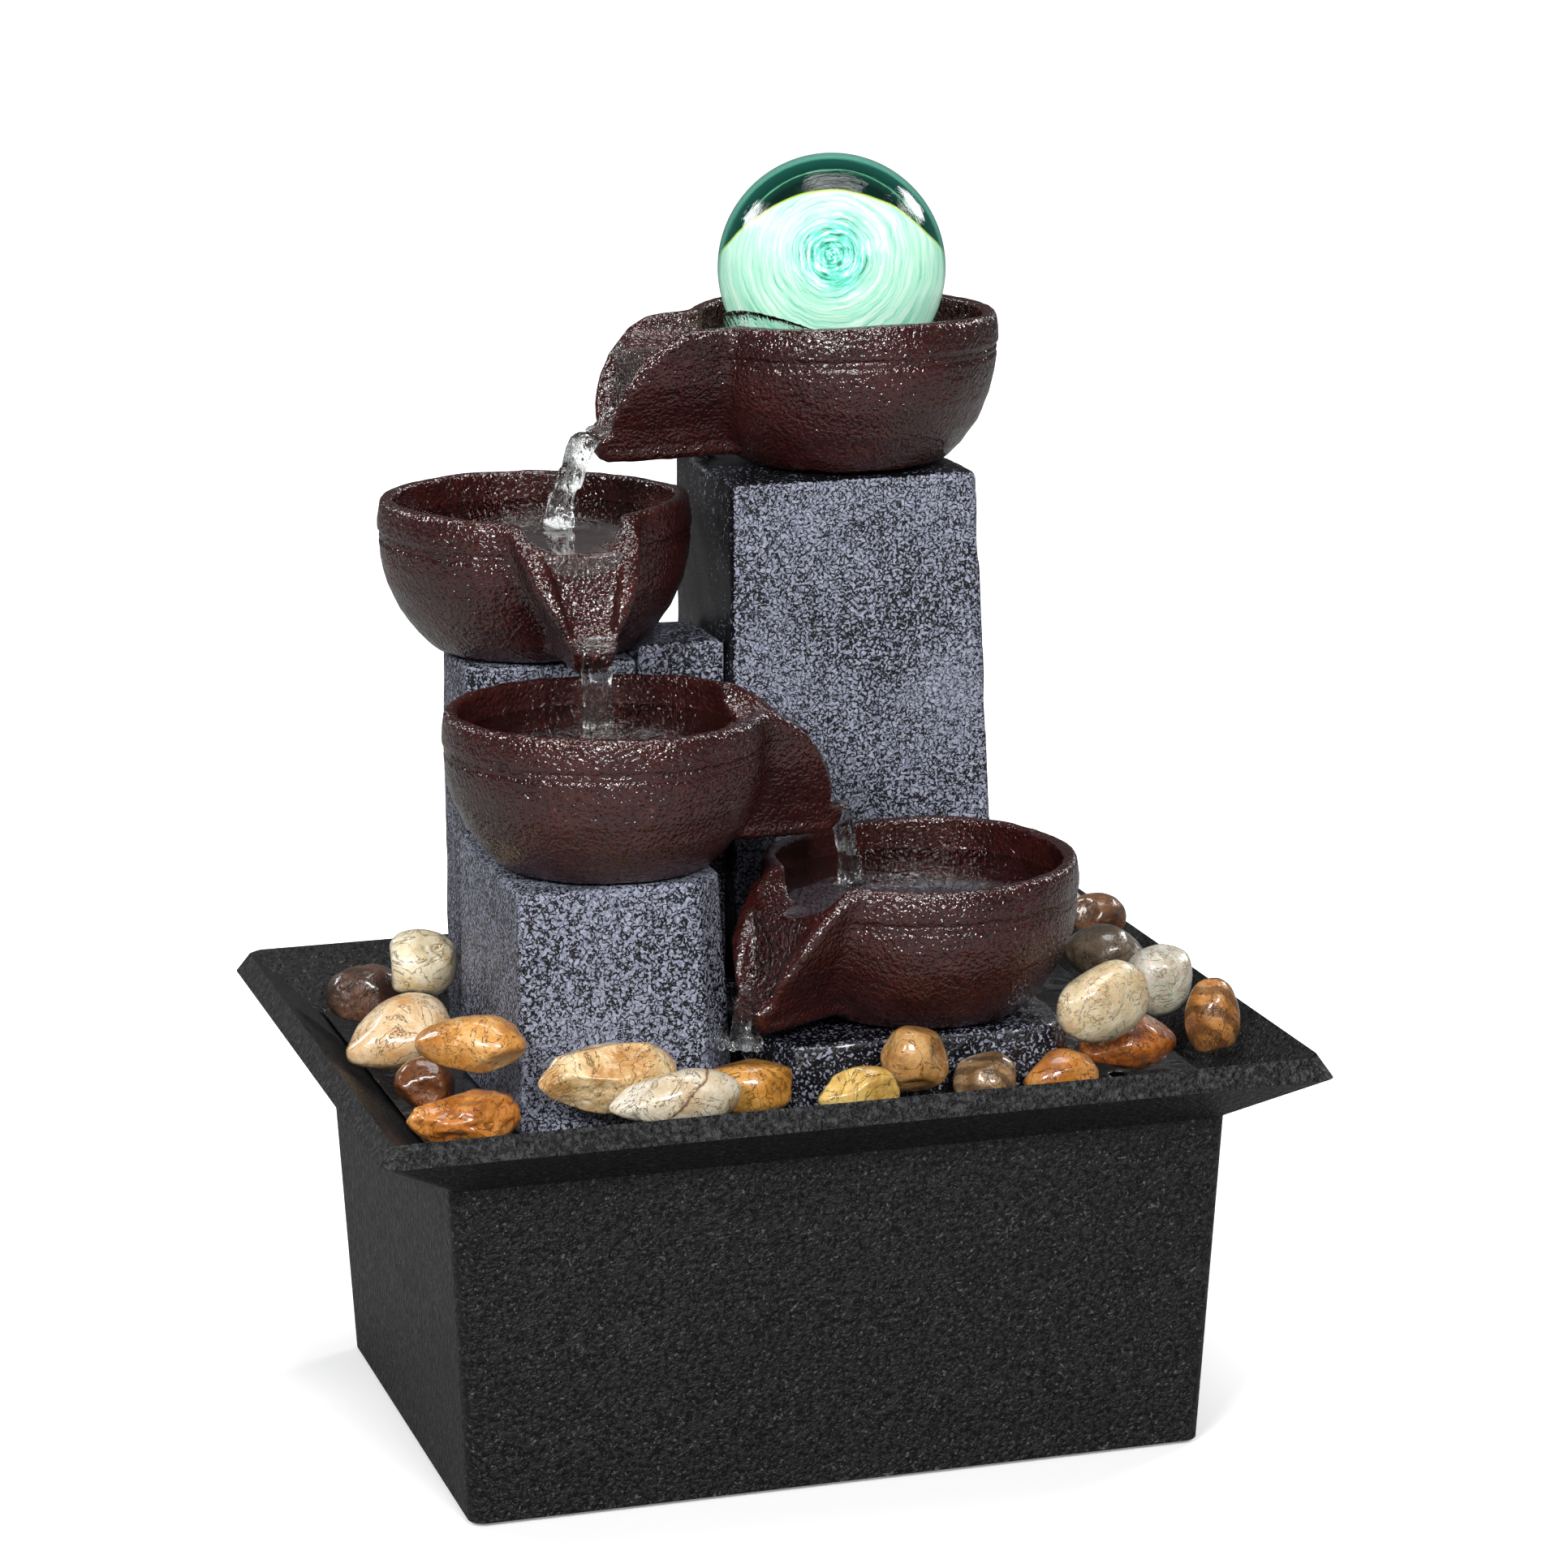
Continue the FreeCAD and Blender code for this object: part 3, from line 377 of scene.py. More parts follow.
def plain_look(name, colour, roughness=0.5, grain=0.0006, depth=0.00006, mottle=0.15, **settings):
    """Moulded plastic, rubber or metal with a fine grain and slight colour drift."""
    look = Look(name, **settings)
    drift = look.noise(0.012, 4.0, 0.6)
    dark = tuple(c * (1 - mottle) for c in colour)
    pale = tuple(min(1.0, c * (1 + mottle)) for c in colour)
    shade = look.ramp(drift, (0.3, dark), (0.7, pale))
    rough = look.ramp(look.noise(0.004, 3.0), (0.3, roughness * 0.85), (0.7, min(1.0, roughness * 1.15)))
    look.relief((look.noise(grain, 2.0), depth))
    look.set(look.shader, Base_Color=shade, Roughness=rough)
    return look.material


# ---------------------------------------------------------------- bowls
def local_point(name, x, y):
    """Plan position in a bowl's own frame."""
    data = BOWLS[name]
    away = Vector((x - data["centre"][0], y - data["centre"][1], 0))
    away.rotate(Matrix.Rotation(-math.radians(data["turn"]), 3, "Z"))
    return away


def outer_radius(z):
    """Radius of a bowl's outside at a height below its rim."""
    heights = np.array([-33.0, -31.5, -29.0, -24.0, -18.0, -13.0, -9.0, -4.0, 0.0, 6.0])
    radii = np.array([22.5, 24.0, 26.4, 29.9, 32.6, 33.8, 34.2, 34.1, 33.5, 32.9])
    return np.interp(z, heights, radii).astype(np.float32)


def inner_radius(z):
    heights = np.array([-29.5, -27.0, -23.0, -18.0, -12.0, -6.0, 0.0, 6.0])
    radii = np.array([18.5, 23.0, 26.6, 29.2, 30.6, 30.9, 30.6, 30.4])
    return np.interp(z, heights, radii).astype(np.float32)


def outline_distance(across, up, outline):
    """Signed distance to a closed outline in a plane, negative inside."""
    nearest, crossings = np.inf, 0
    for (ax, ay), (bx, by) in zip(outline, outline[1:] + outline[:1]):
        ex, ey = bx - ax, by - ay
        px, py = across - ax, up - ay
        share = np.clip((px * ex + py * ey) / (ex * ex + ey * ey), 0, 1)
        nearest = np.minimum(nearest, (px - ex * share) ** 2 + (py - ey * share) ** 2)
        if ey:
            hit = ((ay > up) != (by > up)) & (across < ex * (up - ay) / ey + ax)
            crossings = crossings + hit
    return (np.sqrt(nearest) * np.where(crossings % 2 == 1, -1, 1)).astype(np.float32)


def front_outline(column):
    right = [(row[column], row[0]) for row in SPOUT_FRONT]
    left = [(-row[column], row[0]) for row in reversed(SPOUT_FRONT)]
    return right + left


def chute_line(reach):
    """Floor that the water runs over: the level sill, then the steep chute and the lip."""
    return [(reach - 10.5, -SILL), (reach - 9.2, -13.5), (reach - 7.3, -19.5),
            (reach - 3.5, -23.6), (reach + 4, -26.4)]


def bowl_fields(x, y, z, reach, seed):
    """Solid and hollow of one bowl in its own frame, with the spout along +X."""
    radius = np.sqrt(x * x + y * y)
    angle = np.arctan2(y, x)
    sway = 0.35 * np.sin(2 * angle + seed) + 0.25 * np.sin(3 * angle + 2.0 * seed)
    outside = (radius - outer_radius(z)) * 0.88
    outside = smooth_max(outside, -BOWL_DEPTH - z, 1.2)
    # Thickened band under the rim, closed below by a fine double line.
    step = z + 7.0 - 0.5 * sway
    outside = outside - 0.28 / (1 + np.exp(-step * 5)) + 0.14
    for line in (-0.3, -1.7):
        outside = outside + 0.40 * np.exp(-((step - line) / 0.36) ** 2)
    inside = np.maximum(radius - inner_radius(z), (-BOWL_DEPTH + WALL + 0.9) - z)
    # Spout seen from its side: back over the crest, down its curved front, under the lip.
    profile = [
        (22, 0.3), (reach - 22, 0.1), (reach - 18, -0.9), (reach - 14, -3.2),
        (reach - 10.5, -6.5), (reach - 9, -8.3), (reach - 6, -13.0), (reach - 4.2, -17.0),
        (reach - 3.2, -20.5), (reach - 3.0, -23.0), (reach - 0.4, -25.0),
        (reach - 0.8, -27.5), (reach - 3.4, -30.3), (22, -30.3),
    ]
    side = outline_distance(x, z, profile)
    beak = smooth_max(side, outline_distance(y, z, front_outline(1)), 2.2)
    solid = smooth_min(outside, beak, 2.4)
    solid = smooth_max(solid, z - sway, 1.5)
    floor = [(20, -SILL)] + chute_line(reach) + [(reach + 4, 6), (20, 6)]
    floor = outline_distance(x, z - 0.03 * y * y, floor)
    trough = smooth_max(floor, outline_distance(y, z, front_outline(2)), 1.4)
    return solid, smooth_min(inside, trough, 1.2)


def build_bowl(name, look, seed):
    data = BOWLS[name]
    low, high, step = (-37, -37, -36), (data["reach"] + 3, 37, 4), 0.5
    x, y, z = axes(low, high, step)
    solid, hollow = bowl_fields(x, y, z, data["reach"], seed)
    shell = smooth_max(solid, -hollow, 1.2)
    shell = shell + 0.10 * bumps(x, y, z, 2.2, seed) + 0.16 * bumps(x, y, z, 8.0, seed + 20)
    if name == "top_bowl":
        # Bores for the nozzle, under the ball, and for the lamp beside it.
        for hole_x, hole_y, size in ((26.0, 31.0, 4.4), (35.9, 31.0, 3.8)):
            away = local_point(name, hole_x, hole_y)
            bore = np.sqrt((x - away.x) ** 2 + (y - away.y) ** 2) - size
            shell = np.maximum(shell, -np.maximum(bore, z + 25))
    piece = skin(name + "_casting", shell, low, step, data["turn"], data["centre"])
    return finish_piece(piece, "tower", look, "bowl_glaze", name)


# ---------------------------------------------------------------- pillars, deck and basin
def recast(node, name, voxel, amount, scale, seed, smoothing=4):
    """Hand-cast copy of a CAD node: remeshed, edges softened, faces gently uneven."""
    piece = copy_of(node, name)
    remesh = piece.modifiers.new("remesh", "REMESH")
    remesh.mode = "VOXEL"
    remesh.voxel_size = voxel * MM
    relax = piece.modifiers.new("relax", "SMOOTH")
    relax.iterations = smoothing
    apply_modifiers(piece)
    points = coordinates(piece)
    away = vertex_normals(piece)
    x, y, z = (points / MM).T
    push = amount * bumps(x, y, z, scale, seed) + 0.4 * amount * bumps(x, y, z, scale / 3, seed + 1)
    set_coordinates(piece, points + away * (push[:, None] - amount) * MM)
    piece.data.shade_smooth()
    return piece


def build_stones():
    # Per pillar: amount of dry-brush paint, and how far its side faces go black, partly as painted shade.
    brushes = {"tall_pillar": (0.035, 0.45), "left_pillar": (-0.01, 0.04), "ledge_pillar": (-0.02, 0.08),
               "front_pillar": (0.03, 0.03)}
    wet = pillar_look("plinth_wet", -0.22, 0.0, 0.8)
    for index, (node, (brush, side)) in enumerate(brushes.items()):
        piece = recast(node, node + "_casting", 0.9, 0.22, 9.0, 60 + index)
        finish_piece(piece, "tower", pillar_look(node + "_brushed", brush, side), "pillar_stone", node)
    plinth = recast("low_plinth", "low_plinth_casting", 0.9, 0.35, 6.0, 70, 6)
    finish_piece(plinth, "tower", wet, "plinth_stone", "low_plinth")


def bevelled(node, name, width):
    """Copy of a flat-faced CAD node with its doubled vertices welded and its edges rounded."""
    piece = copy_of(node, name)
    mesh = bmesh.new()
    mesh.from_mesh(piece.data)
    bmesh.ops.remove_doubles(mesh, verts=mesh.verts, dist=0.00002)
    bmesh.ops.dissolve_limit(mesh, angle_limit=0.02, verts=mesh.verts, edges=mesh.edges)
    mesh.to_mesh(piece.data)
    mesh.free()
    bevel = piece.modifiers.new("bevel", "BEVEL")
    bevel.width = width * MM
    bevel.segments = 4
    bevel.limit_method = "ANGLE"
    bevel.angle_limit = math.radians(25)
    apply_modifiers(piece)
    piece.data.shade_smooth()
    weighted = piece.modifiers.new("weighted", "WEIGHTED_NORMAL")
    weighted.keep_sharp = False
    apply_modifiers(piece)
    return piece


# ---------------------------------------------------------------- water
# Falls: how far each stream travels outward, the height against the rim where it lands, its half
# width, and how far below the rim the spout starts to look wet.
FALLS = {
    "top_bowl": dict(throw=9.0, land=-43.6, width=6.0, wet=0.0),
    "second_bowl": dict(throw=1.6, land=-41.6, width=3.9, wet=22.5),
    "third_bowl": dict(throw=4.4, land=-42.8, width=5.0, wet=0.0),
    "fourth_bowl": dict(throw=3.0, land=-33.2, width=3.4, wet=0.0),
}
LANDINGS = {"second_bowl": (-38.6, 25.6), "third_bowl": (-40.0, -18.0), "fourth_bowl": (13.6, -24.0)}


def water_look(name, depth):
    look = Look(name, Base_Color=(0.97, 1.0, 0.99, 1.0), Roughness=0.0, IOR=1.33, Transmission_Weight=1.0)
    stretched = look.node("ShaderNodeMapping", None, Vector=look.place, Scale=(1.0, 1.0, 0.3)).outputs[0]
    normal = look.node("ShaderNodeNewGeometry").outputs["Normal"]
    upright = look.ramp(look.axis(2, normal), (0.75, 1.0), (0.97, 0.06))
    ropes = look.math("MULTIPLY", look.noise(0.0026, 3.0, 0.6, 0.8, stretched), upright)
    look.relief((ropes, depth))
    return look.material


def build_water(name, look, falling, seed):
    """Pool with the film down its spout, and the stream that falls from the lip."""
    data, fall = BOWLS[name], FALLS[name]
    reach = data["reach"]
    low, high, step = (-33, -33, fall["land"] - 1.0), (reach + 14, 33, 3), 0.5
    x, y, z = axes(low, high, step)
    _, hollow = bowl_fields(x, y, z, reach, seed)
    ripple = 0.03 * bumps(x, y, 0 * z, 9.0, seed + 3)
    if name in LANDINGS:
        drop = local_point(name, *LANDINGS[name])
        away = np.sqrt((x - drop.x) ** 2 + (y - drop.y) ** 2)
        ripple = ripple + 0.16 * np.cos(away * 1.5) * np.exp(-away / 6.0) + 0.6 * np.exp(-(away / 3.2) ** 2)
    level = z + WATER_DROP[name] - ripple
    pool = smooth_max(level, x - (reach - 9.6), 1.0)
    line = [(a, b + 0.1) for a, b in chute_line(reach)]
    skirt = [(20, -30)] + [(reach - 12, -SILL)] + line + [(reach - 1.2, -28), (reach - 12, -30)]
    film = outline_distance(x, z - 0.03 * y * y, skirt) - 0.5
    film = film + 0.12 * bumps(x / 2.6, y, z / 2.6, 2.4, seed + 5)
    film = smooth_max(film, level, 0.6)
    film = np.maximum(film, x - (reach - 0.6))
    film = np.maximum(film, z + fall["wet"])
    body = np.maximum(smooth_min(pool, film, 0.8), hollow - 0.25)
    if name == "top_bowl":
        centre = local_point(name, BALL.x, BALL.y)
        up = BALL.z - data["centre"][2]
        away = np.sqrt((x - centre.x) ** 2 + (y - centre.y) ** 2 + (z - up) ** 2)
        cling = np.abs(away - BALL_RADIUS - 0.9) - 0.75
        side = (x - centre.x) * 0.92 + (y - centre.y) * 0.38
        cling = smooth_max(cling, z - (-7.0 + 9.5 * np.clip((side - 8) / 17, 0, 1)), 2.0)
        cling = smooth_max(cling, 9.0 - side, 2.0)
        body = smooth_min(body, cling, 2.0)
        body = np.maximum(body, BALL_RADIUS + 0.2 - away)
    pool_piece = skin(name + "_water", body, low, step, data["turn"], data["centre"])
    finish_piece(pool_piece, "tower", look, "crystal_glass")
    low, step = (reach - 9, -9, fall["land"] - 1.0), 0.32
    x, y, z = axes(low, (reach + 14, 9, -22), step)
    start = -24.2
    fallen = np.clip((start - z) / (start - fall["land"]), 0, 1)
    middle = reach - 1.6 + fall["throw"] * np.sqrt(fallen)
    wide = fall["width"] * (1.0 - 0.22 * np.sin(math.pi * fallen))
    wide = wide * (1 + 0.07 * bumps(0 * x, 0 * y, z, 3.0, seed))
    deep = 0.5 * wide
    stream = (np.sqrt(((x - middle) / deep) ** 2 + (y / wide) ** 2) - 1.0) * deep
    stream = stream + 0.6 * bumps(x, y, z / 8.0, 1.3, seed + 8) + 0.15 * bumps(x, y, z / 2.5, 0.8, seed + 9)
    stream = smooth_max(stream, z - start, 1.0)
    stream = np.maximum(stream, fall["land"] + 0.3 - z)
    piece = skin(name + "_stream", stream, low, step, data["turn"], data["centre"])
    finish_piece(piece, "tower", falling, "crystal_glass")


def build_splash(look):
    """Drops thrown up where the last stream lands on the pebbles."""
    draw = np.random.default_rng(5)
    mesh = bmesh.new()
    for _ in range(16):
        place = Vector((-20.0 + draw.normal(0, 3.2), -50.5 + draw.normal(0, 2.2),
                        97.0 + abs(draw.normal(0, 1.8))))
        size = draw.uniform(0.4, 1.15)
        made = bmesh.ops.create_icosphere(mesh, subdivisions=3, radius=size * MM)["verts"]
        bmesh.ops.scale(mesh, vec=(1, 1, draw.uniform(0.9, 1.5)), verts=made)
        bmesh.ops.translate(mesh, vec=place * MM, verts=made)
    finish_piece(object_from(mesh, "splash_drops"), "tower", look, "crystal_glass")


# ---------------------------------------------------------------- crystal ball
def crystal_painted_light_look():
    """Crystal with painted light: a pale field of painted refraction, a teal eye on the spin axis painted as
    the green lamp's glow, dark green arcs under its top painted as refraction, a painted dark outline, and a
    faint glow by emission.
    """
    # Painted glow: the emission strength here makes the ball glow faintly.
    look = Look("crystal_painted_refraction_glow", IOR=1.45, Transmission_Weight=0.25, Specular_IOR_Level=0.6,
                Emission_Strength=0.22, Roughness=0.02)
    size = BALL_RADIUS * MM
    across = SPIN_AXIS.cross(Vector((0, 0, 1))).normalized()
    upward = across.cross(SPIN_AXIS)

    def along(direction):
        centred = look.node("ShaderNodeVectorMath", {"operation": "SUBTRACT"}, Vector=look.place)
        centred.inputs[1].default_value = BALL * MM
        product = look.node("ShaderNodeVectorMath", {"operation": "DOT_PRODUCT"}, Vector=centred.outputs[0])
        product.inputs[1].default_value = direction / size
        return product.outputs["Value"]

    x, y = along(across), along(upward)
    radius = look.distance(x, y)
    streaks = look.node("ShaderNodeCombineXYZ")
    drift = look.math("MULTIPLY", look.noise(0.007, 3.0), 2.6)
    look.tree.links.new(look.math("ADD", look.math("MULTIPLY", radius, 34.0), drift), streaks.inputs[0])
    look.tree.links.new(look.math("DIVIDE", x, radius), streaks.inputs[1])
    look.tree.links.new(look.math("DIVIDE", y, radius), streaks.inputs[2])
    rings = look.noise(1.0, 4.0, 0.65, vector=streaks.outputs[0])
    # Painted refraction: the pale mint field stands for the white backdrop seen through the glass.
    painted_refraction_heart = look.ramp(rings, (0.30, (0.16, 0.55, 0.38)), (0.42, (0.42, 0.80, 0.60)),
                      (0.52, (0.54, 0.86, 0.69)), (0.64, (0.80, 0.96, 0.85)))
    # Painted glow: the teal eye around the spin axis stands for the green lamp's light seen in the ball.
    painted_glow_eye = look.ramp(rings, (0.36, (0.0, 0.10, 0.06)), (0.45, (0.04, 0.50, 0.32)), (0.54, (0.16, 0.78, 0.64)),
                    (0.66, (0.9, 1.0, 0.97)))
    stirred = look.math("ADD", radius, look.math("MULTIPLY", look.noise(0.005, 3.0), 0.3))
    colour = look.mix(look.ramp(stirred, (0.36, 1.0), (0.58, 0.0)), painted_refraction_heart, painted_glow_eye)
    # Painted refraction: dark green arcs that follow the rim above a curve that sags towards both sides.
    high = look.math("ADD", y, 0.07)
    rim = look.distance(x, high)
    sag = look.math("ADD", high, look.math("MULTIPLY", look.math("MULTIPLY", x, x), 0.5))
    sag = look.math("ADD", sag, look.math("MULTIPLY", look.noise(0.010, 1.0), 0.04))
    wisps = look.math("ADD", rim, look.math("MULTIPLY", rings, 0.06))
    painted_refraction_arcs = look.ramp(wisps, (0.60, (0.0, 0.010, 0.006)), (0.80, (0.0, 0.006, 0.005)),
                     (0.865, (0.002, 0.03, 0.02)), (0.875, (0.10, 0.36, 0.22)),
                     (0.89, (0.0, 0.02, 0.015)), (0.945, (0.0, 0.035, 0.026)),
                     (0.985, (0.0, 0.05, 0.04)), (1.0, (0.02, 0.16, 0.12)))
    # Painted refraction: a yellow-green band along the sagging curve, then the dark arcs above it.
    colour = look.mix(look.ramp(sag, (0.655, 0.0), (0.665, 1.0)), colour, (0.50, 0.62, 0.10))
    colour = look.mix(look.ramp(sag, (0.67, 0.0), (0.685, 1.0)), colour, painted_refraction_arcs)
    # Painted shade: a dark teal ring at the ball's outline, where the glass looks dark.
    edge = look.ramp(rim, (0.965, 0.0), (0.99, 0.75))
    colour = look.mix(edge, colour, (0.12, 0.36, 0.28))
    fade = look.ramp(radius, (0.0, 1.0), (0.55, 0.75), (0.85, 0.12))
    look.relief((look.math("MULTIPLY", rings, fade), 0.0005), (look.noise(0.006, 3.0), 0.00015))
    # Painted glow: the same colour feeds the emission, so the ball glows faintly although it is not a lamp.
    look.set(look.shader, Base_Color=colour, Emission_Color=colour)
    return look.material


def build_ball():
    mesh = bmesh.new()
    bmesh.ops.create_icosphere(mesh, subdivisions=7, radius=BALL_RADIUS * MM)
    bmesh.ops.translate(mesh, vec=BALL * MM, verts=mesh.verts)
    piece = object_from(mesh, "crystal_ball_polished")
    finish_piece(piece, "crystal_ball", crystal_painted_light_look(), "crystal_glass", "crystal_ball")


# ---------------------------------------------------------------- pebbles
def srgb(red, green, blue):
    """Linear colour from the 0 to 255 values a screen shows."""
    return tuple(((v / 255 + 0.055) / 1.055) ** 2.4 for v in (red, green, blue))


# Pebbles: colours dark, middle and pale; then shape: facets, how sharp, roughness of the
# surface; taper towards one end; and extras drawn on it.
PEBBLES = {
    "white_pitted": ((196, 160, 98), (224, 208, 172), (236, 228, 206), 5, 0.10, 0.020, 0.10, "pits"),
    "dark_brown": ((52, 34, 26), (92, 62, 46), (138, 106, 86), 7, 0.07, 0.035, 0.10, ""),
    "pale_tan": ((196, 142, 82), (214, 184, 142), (228, 208, 176), 5, 0.12, 0.018, 0.22, ""),
    "honey": ((168, 104, 36), (204, 148, 76), (228, 196, 140), 6, 0.09, 0.030, 0.25, ""),
    "wedge_brown": ((70, 34, 14), (116, 64, 26), (150, 92, 44), 6, 0.08, 0.03, 0.1, ""),
    "rough_orange": ((104, 52, 16), (188, 114, 44), (216, 154, 84), 8, 0.06, 0.060, 0.10, ""),
    "cream": ((176, 122, 58), (224, 194, 144), (238, 220, 184), 9, 0.05, 0.040, 0.12, ""),
    "seamed_grey": ((176, 150, 112), (204, 192, 168), (220, 212, 196), 5, 0.12, 0.015, 0.10, "seam"),
    "wet_ochre": ((138, 84, 22), (188, 130, 52), (214, 168, 92), 5, 0.10, 0.020, 0.10, ""),
    "mustard": ((150, 108, 42), (202, 166, 88), (220, 192, 124), 9, 0.05, 0.025, 0.20, ""),
    "tan": ((128, 82, 36), (172, 122, 64), (200, 160, 104), 5, 0.10, 0.020, 0.05, ""),
    "striped": ((98, 70, 44), (150, 118, 82), (186, 160, 124), 5, 0.10, 0.020, 0.05, "bands"),
    "amber": ((128, 70, 22), (178, 112, 44), (206, 150, 84), 5, 0.10, 0.020, 0.05, ""),
    "rust": ((34, 18, 10), (148, 78, 26), (188, 118, 52), 6, 0.08, 0.025, 0.15, ""),
    "cream_oval": ((186, 158, 114), (210, 192, 156), (226, 214, 188), 3, 0.18, 0.008, 0.04, "clear"),
    "slate": ((56, 44, 34), (92, 78, 62), (132, 116, 96), 6, 0.09, 0.025, 0.10, ""),
    "frosted": ((176, 164, 138), (202, 196, 180), (224, 220, 210), 5, 0.12, 0.015, 0.10, "clear"),
    "upright_tan": ((116, 72, 34), (168, 112, 56), (198, 150, 92), 5, 0.10, 0.020, 0.10, "bands"),
    "chestnut": ((66, 40, 24), (118, 78, 48), (158, 116, 80), 6, 0.08, 0.025, 0.10, ""),
    "far_grey": ((150, 138, 112), (186, 176, 154), (212, 204, 188), 5, 0.10, 0.020, 0.05, ""),
    "back_amber": ((128, 70, 22), (178, 112, 44), (206, 150, 84), 6, 0.08, 0.025, 0.10, ""),
    "back_brown": ((88, 54, 28), (142, 96, 54), (180, 138, 92), 6, 0.08, 0.025, 0.10, "bands"),
    "back_white": ((176, 160, 130), (212, 202, 180), (230, 224, 210), 5, 0.10, 0.020, 0.10, "clear"),
    "back_ochre": ((138, 84, 22), (188, 130, 52), (214, 168, 92), 7, 0.07, 0.030, 0.15, ""),
    "back_grey": ((120, 108, 90), (160, 148, 128), (196, 186, 168), 6, 0.08, 0.020, 0.10, "seam"),
}


def stone_look(name, dark, middle, pale, extra, centre):
    """Polished wet stone: clouded colour, fine specks, dark cracks and thin veins."""
    look = Look(name, Coat_Weight=0.85, Coat_Roughness=0.05, Coat_IOR=1.38)
    clouds = look.noise(0.011, 6.0, 0.68, 0.5)
    colour = look.ramp(clouds, (0.34, srgb(*dark)), (0.5, srgb(*middle)), (0.68, srgb(*pale)))
    stain = look.ramp(look.noise(0.006, 5.0, 0.7, 1.5), (0.52, 0.0), (0.70, 0.75))
    colour = look.mix(stain, colour, srgb(*dark))
    crack = look.ramp(look.noise(0.009, 4.0, 0.6, 2.2), (0.488, 0.0), (0.5, 1.0), (0.512, 0.0))
    colour = look.mix(look.math("MULTIPLY", crack, 0.55), colour, srgb(*(0.45 * v for v in dark)))
    specks = look.ramp(look.noise(0.0009, 2.0, 0.6), (0.30, 1.0), (0.38, 0.0))
    colour = look.mix(look.math("MULTIPLY", specks, 0.35), colour, srgb(*(0.5 * v for v in dark)))
    if extra == "bands":
        wave = look.node("ShaderNodeTexWave", {"bands_direction": "DIAGONAL"}, Vector=look.place,
                         Scale=95.0, Distortion=3.5, Detail=3.0, Detail_Scale=1.2)
        stripe = look.ramp(wave.outputs["Fac"], (0.45, 0.0), (0.75, 0.7))
        colour = look.mix(stripe, colour, srgb(*(0.7 * v for v in dark)))
    if extra == "seam":
        slant = look.math("ADD", look.axis(0), look.math("MULTIPLY", look.axis(2), -1.1))
        slant = look.math("SUBTRACT", slant, (centre[0] - 1.1 * centre[2]) + 0.001)
        slant = look.math("ADD", slant, look.math("MULTIPLY", look.noise(0.006, 3.0), 0.005))
        seam = look.ramp(look.math("MULTIPLY_ADD", slant, 60.0), (0.60, 0.0), (0.65, 1.0), (0.69, 0.0))
        colour = look.mix(seam, colour, srgb(104, 62, 30))
    if extra == "clear":
        look.set(look.shader, Subsurface_Weight=0.45, Subsurface_Scale=0.004, Transmission_Weight=0.08)
    lumps, grain = look.noise(0.0035, 4.0, 0.6), look.noise(0.0008, 3.0, 0.6)
    look.relief((lumps, 0.0004), (grain, 0.00012), (crack, -0.00025))
    rough = look.ramp(look.noise(0.005, 4.0), (0.3, 0.22), (0.7, 0.42))
    look.set(look.shader, Base_Color=colour, Roughness=rough)
    return look.material


def ellipsoid_of(node):
    """Centre, axes and half sizes of an ellipsoid CAD node, from its vertices."""
    points = coordinates(frame["nodes"][node])
    centre = (points.max(0) + points.min(0)) / 2
    spread = points - centre
    _, directions = np.linalg.eigh(spread.T @ spread)
    halves = np.abs(spread @ directions).max(0)
    if np.linalg.det(directions) < 0:
        directions[:, 0] *= -1
    return centre, directions, halves


def build_pebble(key, index):
    dark, middle, pale, facets, sharp, rough, taper, extra = PEBBLES[key]
    node = "pebble_" + key
    centre, directions, halves = ellipsoid_of(node)
    mesh = bmesh.new()
    bmesh.ops.create_icosphere(mesh, subdivisions=6 if rough > 0.035 or extra == "pits" else 5, radius=1.0)
    ball = np.array([v.co for v in mesh.verts], np.float32)
    draw = np.random.default_rng(300 + index)
    size = np.full(len(ball), 1.0, np.float32)
    for _ in range(facets):
        normal = draw.normal(size=3)
        normal /= np.linalg.norm(normal)
        reach = draw.uniform(0.72, 0.93)
        facing = np.maximum(ball @ normal, 0.05)
        size = smooth_min(size, (reach / facing).astype(np.float32), sharp)
    x, y, z = ball.T
    size = size + rough * bumps(x, y, z, 0.42, 400 + index) + 0.45 * rough * bumps(x, y, z, 0.17, 500 + index)
    size = size + 0.06 * bumps(x, y, z, 0.8, 600 + index)
    if extra == "pits":
        for _ in range(9):
            spot = draw.normal(size=3)
            spot[2] = abs(spot[2]) * 0.4
            spot /= np.linalg.norm(spot)
            width = draw.uniform(0.07, 0.15)
            size = size - 0.09 * np.exp(-((1 - ball @ spot) / width ** 2) * 1.4)
    if extra == "seam":
        ledge = x - 0.9 * z - 0.1 + 0.12 * bumps(x, y, z, 0.5, 700 + index)
        size = size + 0.035 * np.tanh(ledge * 18) - 0.02
    size = size * (1.0 / max(1.0, float(size.max())))
    points = ball * size[:, None]
    longest = int(np.argmax(halves))
    others = [axis for axis in range(3) if axis != longest]
    points[:, others] *= (1 - taper * (points[:, longest] + 0.2))[:, None].clip(0, 1.05)
    points = (points * halves) @ directions.T + centre
    for vertex, place in zip(mesh.verts, points):
        vertex.co = place
    piece = object_from(mesh, node + "_stone")
    look = stone_look(node + "_surface", dark, middle, pale, extra, centre)
    slots = {part["node"]: part["material_slot"] for part in frame["record"]["subparts"]}
    finish_piece(piece, "tower", look, slots[node], node)


